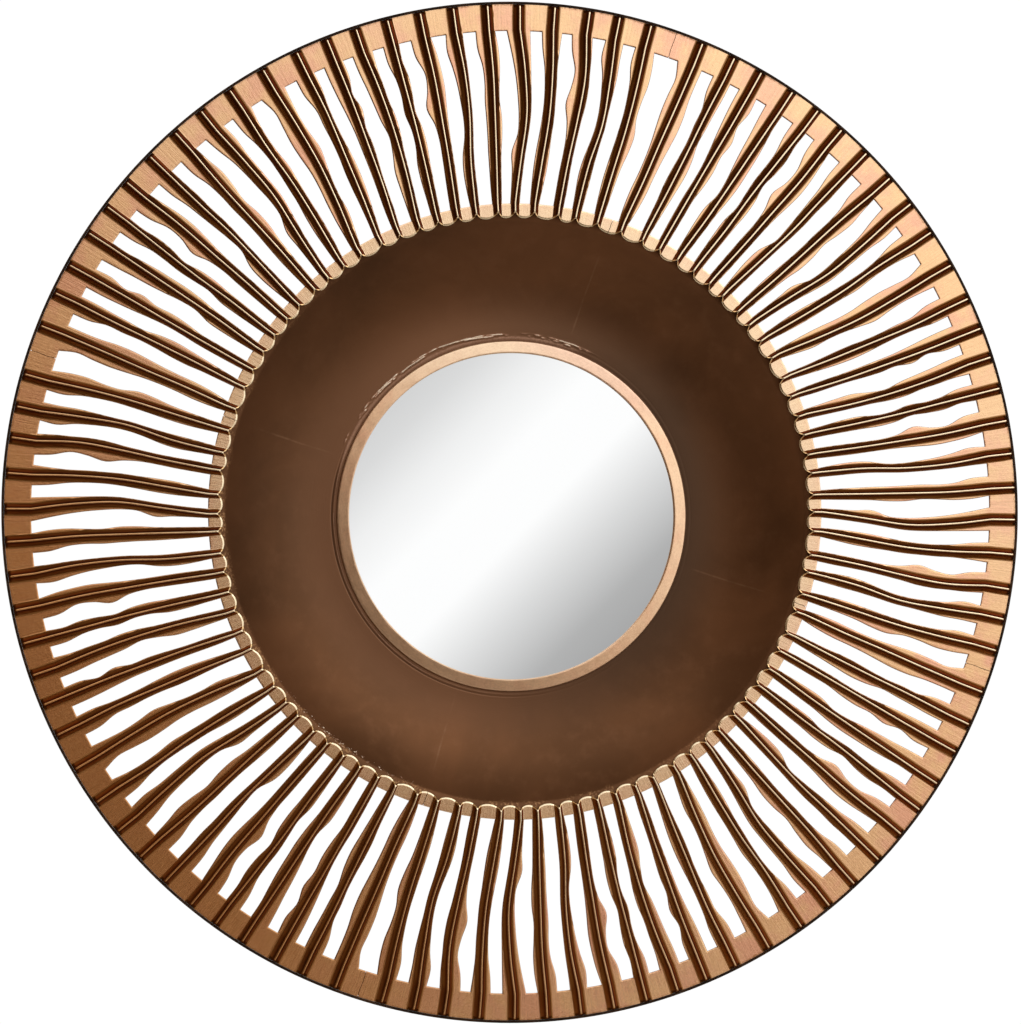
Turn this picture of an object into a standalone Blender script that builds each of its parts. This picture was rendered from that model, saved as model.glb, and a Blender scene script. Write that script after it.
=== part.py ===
"""Round sunburst wall mirror in copper-finished sheet metal.

Four ribbed openwork panels make the sunburst. A thin hoop holds them outside
and a spun dish carries them inside. The mirror glass lies in the middle of the
dish, behind a bezel and in front of a round back board.

Metres. The mirror hangs upright and faces -Y. The flat back of the board lies
on the wall plane y = 0, with the origin at its centre.
"""
import math

import bmesh
import bpy

MM = 0.001

# Gap that two touching pieces keep, and corners closer than this are one
FIT_GAP = 0.0003
MERGE_DISTANCE = 0.00001

# Faces that meet at less than this angle are shaded as one round surface
SMOOTH_UP_TO = math.radians(35.0)

# Sunburst panels
OUTER_RADIUS = 0.460
MOUTH_RADIUS = 0.2638
RIM_WIDTH = 0.0264
INNER_BAND = 0.0132
PLATE_THICKNESS = 0.0022
FLOOR_DEPTH_AT_MOUTH = 0.0500
FLOOR_DROP_TO_RIM = 0.0080
RIB_HEIGHT_AT_RIM = 0.0095
RIB_HEIGHT_AT_MOUTH = 0.0080
RIB_HALF_WIDTH_AT_RIM = 0.0054
RIB_HALF_WIDTH_AT_MOUTH = 0.0040
CREST_SETBACK = 0.0045
NARROWEST_SLOT = 0.0040
NARROWEST_LAND = 0.0010
NARROWEST_BAR = 0.0022

# A slot's edge may run straight past a place that is no further off than this
STATION_TOLERANCE = 0.0014

# Where each panel starts, in degrees clockwise from the top, and how far the
# joint lies across the slot there, as a share of the slot's width
PANEL_STARTS = (18.3, 107.7, 197.6, 287.7)
JOINT_SHARE = 0.6

# Hoop round the outer edge
HOOP_WALL = 0.0022
HOOP_DEPTH = 0.0125
HOOP_PROUD = 0.0006
HOOP_SIDES = 60

# Dish
DISH_WALL = 0.0020
DISH_SETBACK = 0.0008
FLANGE_INSET = 0.0012
DISH_SEAT_WIDTH = 0.0150
BOWL_STEEPNESS = 2.2
BOWL_STEPS = 4

# Sides of the dish, bezel, glass and board, and of the keyhole
TURNED_SIDES = 32
HOLE_SIDES = 16

# Glass, bezel and back board. The glass and its bezel sit low in the dish by
# the drop, which the clearance round the glass leaves room for
GLASS_RADIUS = 0.1505
GLASS_THICKNESS = 0.0030
GLASS_DROP = 0.0035
GLASS_CLEARANCE = 0.0045
BEZEL_COVER = 0.0029
BEZEL_WIDTH = 0.0126
BEZEL_HEIGHT = 0.0078
BEZEL_SHOULDER = 0.0050
BEZEL_SLOPE = 0.0006
BEZEL_CREST_SHARE = 0.45
BOARD_THICKNESS = 0.0090
BOARD_MARGIN = 0.0015

# Keyhole hanger let into the back board
HANGER_HEIGHT = 0.060
HANGER_WIDTH = 0.022
HANGER_THICKNESS = 0.0014
HANGER_FROM_EDGE = 0.0765
HANGER_POCKET_GAP = 0.0005
KEYHOLE_RADIUS = 0.0050
KEYHOLE_SLOT = 0.0048
KEYHOLE_TRAVEL = 0.016
SCREW_HEAD_ROOM = 0.0024
SCREW_SIDE_ROOM = 0.0010

# Places along a rib, as shares of the slot's length from the rim inwards
CREST_PLACES = (0.0, 0.25, 0.5, 0.75, 1.0)
EDGE_PLACES = (0.0, 0.25, 0.4, 0.55, 0.75, 1.0)

# One row for each rib of a panel, clockwise from the panel's start:
# the crest's angle from that start in degrees, at CREST_PLACES,
# then how far the metal reaches before the crest, and beyond it,
# in millimetres at EDGE_PLACES
RIBS = (
    ((3.4, 3.2, 2.9, 2.6, 2.0), (14, 12, 10, 7.5, 8, 5), (9, 10, 11.5, 9.5, 8, 4.5)),
    ((7.4, 7.2, 7.1, 6.9, 6.5), (11.5, 5, 5, 5, 5, 4), (7, 7, 6, 9, 6.5, 4)),
    ((10.9, 10.8, 10.6, 10.4, 10.2), (10.5, 8.5, 6, 4, 5, 4), (9, 9, 7, 8, 5, 4.5)),
    ((15.1, 15.0, 14.9, 14.7, 14.2), (13.5, 10, 7.5, 3.5, 7, 4), (4.5, 6.5, 7.5, 7.5, 5.5, 5)),
    ((18.7, 18.5, 18.3, 18.3, 18.0), (12, 6, 6, 4, 6.5, 4), (4, 6, 4, 7.5, 6, 5.5)),
    ((22.2, 22.4, 22.3, 22.2, 21.9), (13.5, 7.5, 11.5, 5.5, 6, 4.5), (5.5, 7, 7, 5, 5, 5)),
    ((26.1, 26.1, 26.2, 25.9, 25.4), (12.5, 7, 5.5, 4, 8.5, 4), (4.5, 5, 5, 4.5, 4, 5)),
    ((30.0, 29.8, 29.8, 29.8, 29.6), (13.5, 5.5, 6, 5.5, 7, 4.5), (6, 9.5, 7, 9, 6, 5)),
    ((33.8, 34.2, 34.4, 33.7, 33.0), (12.5, 7, 6, 4, 6.5, 4.5), (8, 6.5, 6.5, 6.5, 5.5, 5)),
    ((37.8, 37.6, 37.7, 37.4, 36.8), (12, 4.5, 4, 5, 7, 4.5), (7, 6, 7, 5.5, 6, 5)),
    ((42.2, 42.4, 42.4, 41.8, 40.7), (15, 12.5, 12, 9.5, 8.5, 4), (10, 6.5, 9, 6.5, 5.5, 4)),
    ((46.5, 46.6, 46.3, 45.9, 45.2), (13, 6, 5.5, 6, 5.5, 3.5), (6, 4, 4.5, 6.5, 5.5, 3.5)),
    ((50.2, 50.2, 50.0, 49.7, 49.0), (12.5, 10, 7, 6.5, 6.5, 3.5), (7.5, 7, 4.5, 5.5, 4, 4.5)),
    ((53.7, 54.1, 54.2, 53.9, 53.1), (11.5, 10, 8.5, 5, 8.5, 5), (6.5, 6, 6, 5, 4, 4)),
    ((57.4, 57.4, 57.4, 57.2, 56.8), (11, 5, 6, 4, 7, 4), (4, 7, 4, 7, 5.5, 4.5)),
    ((61.2, 61.4, 61.3, 61.1, 60.7), (13.5, 7, 11.5, 5, 5, 5), (7, 8.5, 7.5, 6, 6, 5)),
    ((65.0, 65.4, 65.3, 64.6, 64.3), (12.5, 7.5, 5, 5, 6.5, 4.5), (4.5, 5, 4.5, 4, 5, 5)),
    ((68.9, 69.1, 69.0, 68.8, 68.5), (12.5, 7, 7.5, 7.5, 6.5, 5), (6, 7, 5.5, 7.5, 6, 5.5)),
    ((72.6, 73.3, 73.6, 72.8, 71.8), (12, 8, 6.5, 6, 8, 4), (9, 6, 5, 5, 4, 4.5)),
    ((76.6, 76.9, 76.9, 76.3, 75.5), (10, 6, 5, 6.5, 7, 4.5), (8.5, 5, 5.5, 5, 5, 4.5)),
    ((80.6, 81.2, 81.0, 80.5, 80.1), (13.5, 10, 13, 7, 6, 5.5), (7, 5, 6, 5, 5, 5.5)),
    ((84.1, 84.5, 84.7, 83.9, 83.5), (10, 6, 5, 6, 8, 5), (6.5, 6, 5, 4, 5.5, 5.5)),
    ((87.8, 88.1, 88.2, 88.0, 87.8), (9.5, 6, 5, 5.5, 6.5, 4.5), (12, 10, 9, 10, 6.5, 5)),
)

# Worked out from the sizes above
HOOP_INNER_RADIUS = OUTER_RADIUS - HOOP_WALL
PANEL_RADIUS = HOOP_INNER_RADIUS * math.cos(math.pi / HOOP_SIDES) - FIT_GAP
SLOT_OUTER_RADIUS = OUTER_RADIUS - RIM_WIDTH
SLOT_INNER_RADIUS = MOUTH_RADIUS + INNER_BAND
GLASS_BACK = BOARD_THICKNESS + FIT_GAP
GLASS_FRONT = GLASS_BACK + GLASS_THICKNESS
SEAT_INNER_RADIUS = GLASS_RADIUS + GLASS_CLEARANCE
SEAT_OUTER_RADIUS = SEAT_INNER_RADIUS + DISH_SEAT_WIDTH
SEAT_FRONT = BOARD_THICKNESS + FIT_GAP + DISH_WALL
BOARD_RADIUS = SEAT_OUTER_RADIUS + BOARD_MARGIN
HANGER_CENTRE = BOARD_RADIUS - HANGER_FROM_EDGE
BEZEL_FOOT = max(GLASS_FRONT, SEAT_FRONT) + FIT_GAP


def clear_scene():
    """Remove whatever the scene holds."""
    for old in list(bpy.data.objects):
        bpy.data.objects.remove(old, do_unlink=True)


def new_collection(name):
    """A fresh collection under the scene's own."""
    made = bpy.data.collections.new(name)
    bpy.context.scene.collection.children.link(made)
    return made


def finish(name, colour, roughness, metallic):
    """A plain material in the piece's main colour."""
    made = bpy.data.materials.new(name)
    made.use_nodes = True
    shader = made.node_tree.nodes["Principled BSDF"]
    shader.inputs["Base Color"].default_value = (*colour, 1.0)
    shader.inputs["Roughness"].default_value = roughness
    shader.inputs["Metallic"].default_value = metallic
    return made


def move_to(piece, collection, parent):
    """Put a piece into its collection, under its parent."""
    for holder in list(piece.users_collection):
        holder.objects.unlink(piece)
    collection.objects.link(piece)
    piece.parent = parent


def place(piece, collection, material, parent):
    """Put a piece of the mirror in its place, with its material."""
    move_to(piece, collection, parent)
    piece.data.materials.clear()
    piece.data.materials.append(material)


def place_cutter(piece, collection, parent):
    """Put a cutter in its place, hidden from renders."""
    move_to(piece, collection, parent)
    piece.hide_render = True
    piece.display_type = "WIRE"


def shade_round(piece):
    """Shade a piece smooth, except over its sharp edges."""
    piece.data.shade_smooth()
    piece.data.set_sharp_from_angle(angle=SMOOTH_UP_TO)


def smooth_value(places, values, place_wanted):
    """Read a smooth curve through the values at a place along the rib."""
    last = len(places) - 1
    index = 0
    while index < last - 1 and place_wanted > places[index + 1]:
        index += 1

    def slope(at):
        before = max(at - 1, 0)
        after = min(at + 1, last)
        return (values[after] - values[before]) / (places[after] - places[before])

    span = places[index + 1] - places[index]
    share = (place_wanted - places[index]) / span
    square = share * share
    cube = square * share
    start = (2 * cube - 3 * square + 1) * values[index]
    leave = (cube - 2 * square + share) * span * slope(index)
    end = (3 * square - 2 * cube) * values[index + 1]
    arrive = (cube - square) * span * slope(index + 1)
    return start + leave + end + arrive


def between(start, end, share):
    """A value part of the way from start to end."""
    return start + (end - start) * share


def floor_depth(radius):
    """Height of the panel's flat floor over the wall, falling outwards."""
    share = (radius - MOUTH_RADIUS) / (OUTER_RADIUS - MOUTH_RADIUS)
    return FLOOR_DEPTH_AT_MOUTH - FLOOR_DROP_TO_RIM * share


def slot_radius(share):
    """Radius at a share of the slot's length, from the rim inwards."""
    return between(SLOT_OUTER_RADIUS, SLOT_INNER_RADIUS, share)


def crest_angle(panel, rib, share):
    """Angle of a rib's crest in degrees, clockwise from the top."""
    return PANEL_STARTS[panel] + smooth_value(CREST_PLACES, RIBS[rib][0], share)


def neighbour_angle(panel, rib, side, share):
    """Angle of the next crest on one side, in degrees, over the joint too."""
    other = rib + side
    if 0 <= other < len(RIBS):
        return crest_angle(panel, other, share)
    turns = 0.0
    next_panel = panel + side
    if next_panel < 0:
        turns = -360.0
    if next_panel >= len(PANEL_STARTS):
        turns = 360.0
    next_panel %= len(PANEL_STARTS)
    other = len(RIBS) - 1 if side < 0 else 0
    return crest_angle(next_panel, other, share) + turns


def metal_reach(panel, rib, side, share):
    """How far the metal reaches from the crest on one side, in metres."""
    column = 1 if side < 0 else 2
    far_rib = (rib + side) % len(RIBS)
    far_column = 2 if side < 0 else 1
    own = smooth_value(EDGE_PLACES, RIBS[rib][column], share) * MM
    far = smooth_value(EDGE_PLACES, RIBS[far_rib][far_column], share) * MM
    apart = abs(neighbour_angle(panel, rib, side, share) - crest_angle(panel, rib, share))
    room = math.radians(apart) * slot_radius(share) - NARROWEST_SLOT
    if own + far > room:
        own *= room / (own + far)
    return max(own, NARROWEST_BAR)


def joint_angle(panel, share):
    """Angle of the joint before a panel, between the metal on its two sides."""
    radius = slot_radius(share)
    last = len(RIBS) - 1
    before = (panel - 1) % len(PANEL_STARTS)
    near = neighbour_angle(panel, 0, -1, share)
    near += math.degrees(metal_reach(before, last, 1, share) / radius)
    far = crest_angle(panel, 0, share)
    far -= math.degrees(metal_reach(panel, 0, -1, share) / radius)
    return between(near, far, JOINT_SHARE)


def rib_half_width(share):
    """Half the width of the rib's foot, where its flanks meet the floor."""
    return between(RIB_HALF_WIDTH_AT_RIM, RIB_HALF_WIDTH_AT_MOUTH, share)


def rib_height(share):
    """Height of the rib's crest over the floor."""
    return between(RIB_HEIGHT_AT_RIM, RIB_HEIGHT_AT_MOUTH, share)


def foot_offset(reach, share):
    """Where the flank meets the floor, or the slot's edge if no land is left."""
    half = rib_half_width(share)
    if reach - half < NARROWEST_LAND:
        return reach
    return half


def bar_widths(panel, rib, share):
    """Crest angle and the four offsets of a bar's section at a station."""
    left = metal_reach(panel, rib, -1, share)
    right = metal_reach(panel, rib, 1, share)
    return (crest_angle(panel, rib, share), left, foot_offset(left, share),
            foot_offset(right, share), right)


def kept_stations(panel, rib):
    """The stations that a bar's shape needs: straight stretches drop theirs."""
    kept = [EDGE_PLACES[0]]
    for index in range(1, len(EDGE_PLACES) - 1):
        before = kept[-1]
        here = EDGE_PLACES[index]
        after = EDGE_PLACES[index + 1]
        share = (here - before) / (after - before)
        first = bar_widths(panel, rib, before)
        middle = bar_widths(panel, rib, here)
        last = bar_widths(panel, rib, after)
        radius = slot_radius(here)
        bend = math.radians(middle[0] - between(first[0], last[0], share)) * radius
        changes = [bend]
        for column in (1, 4):
            changes.append(middle[column] - between(first[column], last[column], share))
        if max(abs(change) for change in changes) > STATION_TOLERANCE:
            kept.append(here)
    kept.append(EDGE_PLACES[-1])
    return kept


class Band:
    """A plain ring of the panels at one end of the slots."""

    def __init__(self, share, slot_end, edge, crest_end):
        self.share = share
        self.slot_radius = slot_end
        self.edge_radius = edge
        self.crest_radius = crest_end


# The band at the rim, then the band at the mouth of the dish
BANDS = (
    Band(0.0, SLOT_OUTER_RADIUS, PANEL_RADIUS, PANEL_RADIUS),
    Band(1.0, SLOT_INNER_RADIUS, MOUTH_RADIUS, MOUTH_RADIUS + CREST_SETBACK),
)


class PanelMesh:
    """Collects the corners and faces of one panel."""

    def __init__(self):
        self.mesh = bmesh.new()

    def corner(self, radius, degrees, depth, offset=0.0):
        """A corner at a radius and angle, moved sideways by an offset."""
        angle = math.radians(degrees) + offset / radius
        return self.mesh.verts.new((radius * math.sin(angle), radius * math.cos(angle), depth))

    def face(self, *corners):
        """A face over the given corners."""
        self.mesh.faces.new(corners)

    def strip(self, first, second):
        """Faces between two closed rows of corners."""
        count = len(first)
        for index in range(count):
            after = (index + 1) % count
            self.face(first[index], first[after], second[after], second[index])


def bar_section(panel_mesh, panel, rib, share):
    """Seven corners round a bar: slot edge, feet and crest, back to front."""
    radius = slot_radius(share)
    angle, left, left_foot, right_foot, right = bar_widths(panel, rib, share)
    top = floor_depth(radius)
    return [
        panel_mesh.corner(radius, angle, top - PLATE_THICKNESS, -left),
        panel_mesh.corner(radius, angle, top, -left),
        panel_mesh.corner(radius, angle, top, -left_foot),
        panel_mesh.corner(radius, angle, top + rib_height(share)),
        panel_mesh.corner(radius, angle, top, right_foot),
        panel_mesh.corner(radius, angle, top, right),
        panel_mesh.corner(radius, angle, top - PLATE_THICKNESS, right),
    ]


def rib_end(panel_mesh, panel, rib, band):
    """Five corners where a rib ends, at the rim or at the mouth."""
    radius = band.edge_radius
    crest_radius = band.crest_radius
    angle = crest_angle(panel, rib, band.share)
    half = rib_half_width(band.share)
    top = floor_depth(radius)
    crest_depth = floor_depth(crest_radius) + rib_height(band.share)
    return [
        panel_mesh.corner(radius, angle, top - PLATE_THICKNESS, -half),
        panel_mesh.corner(radius, angle, top, -half),
        panel_mesh.corner(crest_radius, angle, crest_depth),
        panel_mesh.corner(radius, angle, top, half),
        panel_mesh.corner(radius, angle, top - PLATE_THICKNESS, half),
    ]


def close_rib_end(panel_mesh, section, end):
    """Flanks, underside and end face between a bar and the rib's end."""
    panel_mesh.face(section[2], section[3], end[2], end[1])
    panel_mesh.face(section[3], section[4], end[3], end[2])
    panel_mesh.face(section[6], section[0], end[0], end[4])
    panel_mesh.face(end[1], end[2], end[3])
    panel_mesh.face(end[0], end[1], end[3], end[4])
    if section[1] is not section[2]:
        panel_mesh.face(section[1], section[2], end[1])
    if section[4] is not section[5]:
        panel_mesh.face(section[4], section[5], end[3])


def close_bay(panel_mesh, before, after):
    """Floor, underside, edge and slot end of the band between two bars.

    Each side gives the band's top and bottom corners at the slot, then its
    top and bottom corners at the panel's own edge.
    """
    slot_top, slot_bottom, edge_top, edge_bottom = before
    far_slot_top, far_slot_bottom, far_edge_top, far_edge_bottom = after
    panel_mesh.face(slot_top, far_slot_top, far_edge_top, edge_top)
    panel_mesh.face(slot_bottom, edge_bottom, far_edge_bottom, far_slot_bottom)
    panel_mesh.face(edge_top, far_edge_top, far_edge_bottom, edge_bottom)
    panel_mesh.face(slot_top, slot_bottom, far_slot_bottom, far_slot_top)


def joint_corners(panel_mesh, degrees, side, band):
    """The four corners of a band where it meets the next panel."""
    clear = -side * FIT_GAP / 2.0
    corners = []
    for radius in (band.slot_radius, band.edge_radius):
        top = floor_depth(radius)
        corners.append(panel_mesh.corner(radius, degrees, top, clear))
        corners.append(panel_mesh.corner(radius, degrees, top - PLATE_THICKNESS, clear))
    return corners


def close_joint(panel_mesh, corners):
    """The small end wall of a band at a joint."""
    slot_top, slot_bottom, edge_top, edge_bottom = corners
    panel_mesh.face(slot_top, edge_top, edge_bottom, slot_bottom)


def build_panel(panel, name):
    """One quarter of the sunburst: bars and slots between two plain bands."""
    shape = PanelMesh()
    following = (panel + 1) % len(PANEL_STARTS)
    waiting = []
    for band in BANDS:
        corners = joint_corners(shape, joint_angle(panel, band.share), -1, band)
        close_joint(shape, corners)
        waiting.append(corners)
    for rib in range(len(RIBS)):
        sections = [bar_section(shape, panel, rib, share) for share in kept_stations(panel, rib)]
        for first, second in zip(sections, sections[1:]):
            shape.strip(first, second)
        for index, (band, section) in enumerate(zip(BANDS, (sections[0], sections[-1]))):
            tip = rib_end(shape, panel, rib, band)
            close_rib_end(shape, section, tip)
            close_bay(shape, waiting[index], (section[1], section[0], tip[1], tip[0]))
            waiting[index] = (section[5], section[6], tip[3], tip[4])
    for band, corners_before in zip(BANDS, waiting):
        corners = joint_corners(shape, joint_angle(following, band.share), 1, band)
        close_bay(shape, corners_before, corners)
        close_joint(shape, corners)
    bmesh.ops.remove_doubles(shape.mesh, verts=shape.mesh.verts, dist=MERGE_DISTANCE)
    bmesh.ops.recalc_face_normals(shape.mesh, faces=shape.mesh.faces)
    data = bpy.data.meshes.new(name)
    shape.mesh.to_mesh(data)
    shape.mesh.free()
    return bpy.data.objects.new(name, data)


def outline(name, points, closed):
    """A line of edges through (radius, depth) points, to be turned round the axis."""
    count = len(points)
    edges = [(index, index + 1) for index in range(count - 1)]
    if closed:
        edges.append((count - 1, 0))
    data = bpy.data.meshes.new(name)
    data.from_pydata([(radius, 0.0, depth) for radius, depth in points], edges, [])
    made = bpy.data.objects.new(name, data)
    bpy.context.scene.collection.objects.link(made)
    return made


def turn(piece, sides):
    """Turn an outline into a round piece about its own Z axis."""
    screw = piece.modifiers.new("turn", "SCREW")
    screw.axis = "Z"
    screw.angle = math.radians(360.0)
    screw.steps = sides
    screw.render_steps = sides
    screw.use_merge_vertices = True
    screw.merge_threshold = MERGE_DISTANCE


def use_result(piece):
    """Give a piece the mesh that its modifiers make."""
    evaluated = piece.evaluated_get(bpy.context.evaluated_depsgraph_get())
    data = bpy.data.meshes.new_from_object(evaluated)
    data.name = piece.name
    piece.modifiers.clear()
    piece.data = data


def disc(name, radius, back, thickness):
    """A round plate with its back at a given depth."""
    middle = back + thickness / 2.0
    bpy.ops.mesh.primitive_cylinder_add(vertices=TURNED_SIDES, radius=radius,
                                        depth=thickness, location=(0.0, 0.0, middle))
    made = bpy.context.active_object
    made.name = name
    made.data.name = name
    shade_round(made)
    return made


def hoop():
    """The band round the panels' outer edge."""
    front = floor_depth(OUTER_RADIUS) + HOOP_PROUD
    back = front - HOOP_DEPTH
    section = (
        (HOOP_INNER_RADIUS, front),
        (OUTER_RADIUS, front),
        (OUTER_RADIUS, back),
        (HOOP_INNER_RADIUS, back),
    )
    made = outline("rim_hoop", section, closed=True)
    turn(made, HOOP_SIDES)
    use_result(made)
    shade_round(made)
    return made


def dish():
    """The spun bowl between the glass and the panels: a shell of one thickness."""
    mouth = MOUTH_RADIUS - DISH_SETBACK
    top = floor_depth(mouth) - PLATE_THICKNESS - FIT_GAP
    flange_outer = SLOT_INNER_RADIUS - FLANGE_INSET
    front = [(SEAT_INNER_RADIUS, SEAT_FRONT)]
    for step in range(BOWL_STEPS + 1):
        share = step / BOWL_STEPS
        radius = between(SEAT_OUTER_RADIUS, mouth, share)
        front.append((radius, between(SEAT_FRONT, top, share ** BOWL_STEEPNESS)))
    front.append((flange_outer, floor_depth(flange_outer) - PLATE_THICKNESS - FIT_GAP))
    made = outline("dish", front, closed=False)
    turn(made, TURNED_SIDES)
    shell = made.modifiers.new("wall", "SOLIDIFY")
    shell.thickness = DISH_WALL
    shell.offset = -1.0
    shell.use_even_offset = True
    use_result(made)
    shade_round(made)
    return made


def bezel():
    """The raised ring over the edge of the glass."""
    inner = GLASS_RADIUS - BEZEL_COVER
    outer = inner + BEZEL_WIDTH
    section = (
        (inner, BEZEL_FOOT),
        (inner + BEZEL_SLOPE, BEZEL_FOOT + BEZEL_SHOULDER),
        (between(inner, outer, BEZEL_CREST_SHARE), BEZEL_FOOT + BEZEL_HEIGHT),
        (outer - BEZEL_SLOPE, BEZEL_FOOT + BEZEL_SHOULDER),
        (outer, BEZEL_FOOT),
    )
    made = outline("bezel", section, closed=True)
    turn(made, TURNED_SIDES)
    use_result(made)
    made.location.y = -GLASS_DROP
    shade_round(made)
    return made


def keyhole(name, hole_radius, slot_width, back, front):
    """Two cutters: a round hole, with a slot that runs up from its middle."""
    middle = (back + front) / 2.0
    hole_centre = HANGER_CENTRE - KEYHOLE_TRAVEL / 2.0
    bpy.ops.mesh.primitive_cylinder_add(vertices=HOLE_SIDES, radius=hole_radius,
                                        depth=front - back, location=(0.0, hole_centre, middle))
    hole = bpy.context.active_object
    hole.name = name + "_hole"
    slot = plate(name + "_slot", slot_width, KEYHOLE_TRAVEL, back, front)
    return hole, slot


def cut(piece, cutter):
    """Take a cutter's shape away from a piece."""
    modifier = piece.modifiers.new("cut " + cutter.name, "BOOLEAN")
    modifier.operation = "DIFFERENCE"
    modifier.object = cutter
    modifier.solver = "EXACT"


def plate(name, width, height, back, front):
    """A flat rectangular block at the hanger's place."""
    middle = (back + front) / 2.0
    bpy.ops.mesh.primitive_cube_add(size=1.0, location=(0.0, HANGER_CENTRE, middle))
    made = bpy.context.active_object
    made.name = name
    made.data.name = name
    made.dimensions = (width, height, front - back)
    bpy.ops.object.transform_apply(location=False, rotation=False, scale=True)
    return made


def cut_hanger(hanger, cutters, parent):
    """The keyhole through the hanger plate."""
    past_front = 2.0 * HANGER_THICKNESS
    for cutter in keyhole("keyhole", KEYHOLE_RADIUS, KEYHOLE_SLOT, -HANGER_THICKNESS, past_front):
        place_cutter(cutter, cutters, parent)
        cut(hanger, cutter)


def cut_board(board, cutters, parent):
    """The hanger's pocket in the back board, and the screw head's room behind it."""
    pocket_depth = HANGER_THICKNESS + FIT_GAP
    pocket = plate("hanger_pocket", HANGER_WIDTH + 2.0 * HANGER_POCKET_GAP,
                   HANGER_HEIGHT + 2.0 * HANGER_POCKET_GAP, -pocket_depth, pocket_depth)
    room_radius = KEYHOLE_RADIUS + SCREW_SIDE_ROOM
    room = keyhole("screw_room", room_radius, 2.0 * room_radius, HANGER_THICKNESS / 2.0,
                   HANGER_THICKNESS + SCREW_HEAD_ROOM)
    for cutter in (pocket, *room):
        place_cutter(cutter, cutters, parent)
        cut(board, cutter)


def main():
    clear_scene()
    mirror = new_collection("sunburst_wall_mirror")
    cutters = new_collection("cutters")
    root = bpy.data.objects.new("mirror_root", None)
    mirror.objects.link(root)
    root.rotation_euler = (math.radians(90.0), 0.0, 0.0)

    copper = finish("copper_leaf", (0.72, 0.40, 0.22), 0.35, 1.0)
    bronze = finish("dark_bronze", (0.10, 0.055, 0.03), 0.45, 1.0)
    brown = finish("dish_brown", (0.13, 0.065, 0.035), 0.40, 0.6)
    bright = finish("bezel_copper", (0.75, 0.45, 0.27), 0.30, 1.0)
    silver = finish("silvered_glass", (0.92, 0.93, 0.94), 0.02, 1.0)
    fibre = finish("board_brown", (0.25, 0.16, 0.09), 0.80, 0.0)
    steel = finish("zinc_steel", (0.60, 0.60, 0.60), 0.40, 1.0)

    for panel in range(len(PANEL_STARTS)):
        name = "sunburst_panel_%d" % (panel + 1)
        place(build_panel(panel, name), mirror, copper, root)
    place(hoop(), mirror, bronze, root)
    place(dish(), mirror, brown, root)
    place(bezel(), mirror, bright, root)
    glass = disc("mirror_glass", GLASS_RADIUS, GLASS_BACK, GLASS_THICKNESS)
    glass.location.y = -GLASS_DROP
    place(glass, mirror, silver, root)
    board = disc("back_board", BOARD_RADIUS, 0.0, BOARD_THICKNESS)
    place(board, mirror, fibre, root)
    cut_board(board, cutters, root)
    hanger = plate("hanger_plate", HANGER_WIDTH, HANGER_HEIGHT, 0.0, HANGER_THICKNESS)
    place(hanger, mirror, steel, root)
    cut_hanger(hanger, cutters, root)


main()
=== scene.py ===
"""Looks of the round sunburst wall mirror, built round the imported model.

Metres, in the model's own frame: the mirror hangs upright, faces -Y, and its
flat back lies on the wall plane y = 0. Angles go clockwise from the top, seen
from the front, and depth is the height over the wall.
"""

import math
import random

import bmesh
import bpy
from mathutils import Matrix, Vector, noise


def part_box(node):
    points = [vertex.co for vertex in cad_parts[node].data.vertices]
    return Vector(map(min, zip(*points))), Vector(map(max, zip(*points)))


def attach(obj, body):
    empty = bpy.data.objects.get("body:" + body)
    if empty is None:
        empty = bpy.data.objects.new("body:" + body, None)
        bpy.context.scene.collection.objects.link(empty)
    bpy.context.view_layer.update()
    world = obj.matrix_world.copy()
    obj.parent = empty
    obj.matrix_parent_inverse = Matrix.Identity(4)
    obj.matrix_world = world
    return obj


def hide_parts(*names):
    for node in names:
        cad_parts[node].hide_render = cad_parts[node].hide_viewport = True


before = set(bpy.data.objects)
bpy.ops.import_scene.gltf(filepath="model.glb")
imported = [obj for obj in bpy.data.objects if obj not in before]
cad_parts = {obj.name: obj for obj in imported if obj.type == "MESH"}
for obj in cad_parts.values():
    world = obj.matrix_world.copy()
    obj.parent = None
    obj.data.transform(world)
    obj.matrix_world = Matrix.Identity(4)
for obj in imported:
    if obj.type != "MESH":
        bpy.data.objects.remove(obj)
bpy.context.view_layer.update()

MM = 0.001

# The photograph's frame, in pixels
IMAGE_HEIGHT = 1024

# Camera: distance from the mirror's centre, direction in degrees, focal length
# in pixels, and the point that it looks at
CAMERA_DISTANCE = 3.4
CAMERA_AZIMUTH = -5.65
CAMERA_ELEVATION = -0.8
CAMERA_FOCAL = 3728.6
CAMERA_AIM = Vector((-0.00116, 0.0, 0.0))
SENSOR = 36.0

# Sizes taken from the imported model
HOOP_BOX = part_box("rim_hoop")
DISH_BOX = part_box("dish")
BEZEL_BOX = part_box("bezel")
GLASS_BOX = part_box("mirror_glass")
BOARD_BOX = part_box("back_board")
HANGER_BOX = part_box("hanger_plate")
OUTER_RADIUS = HOOP_BOX[1].z
HOOP_FRONT = -HOOP_BOX[0].y
HOOP_BACK = -HOOP_BOX[1].y
FLANGE_RADIUS = DISH_BOX[1].z
BEZEL_RADIUS = (BEZEL_BOX[1].z - BEZEL_BOX[0].z) / 2.0
BEZEL_FOOT = -BEZEL_BOX[1].y
GLASS_RADIUS = (GLASS_BOX[1].z - GLASS_BOX[0].z) / 2.0
GLASS_DROP = -(GLASS_BOX[1].z + GLASS_BOX[0].z) / 2.0
GLASS_FRONT = -GLASS_BOX[0].y
GLASS_BACK = -GLASS_BOX[1].y
BOARD_RADIUS = BOARD_BOX[1].z
BOARD_THICKNESS = -BOARD_BOX[0].y

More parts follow.
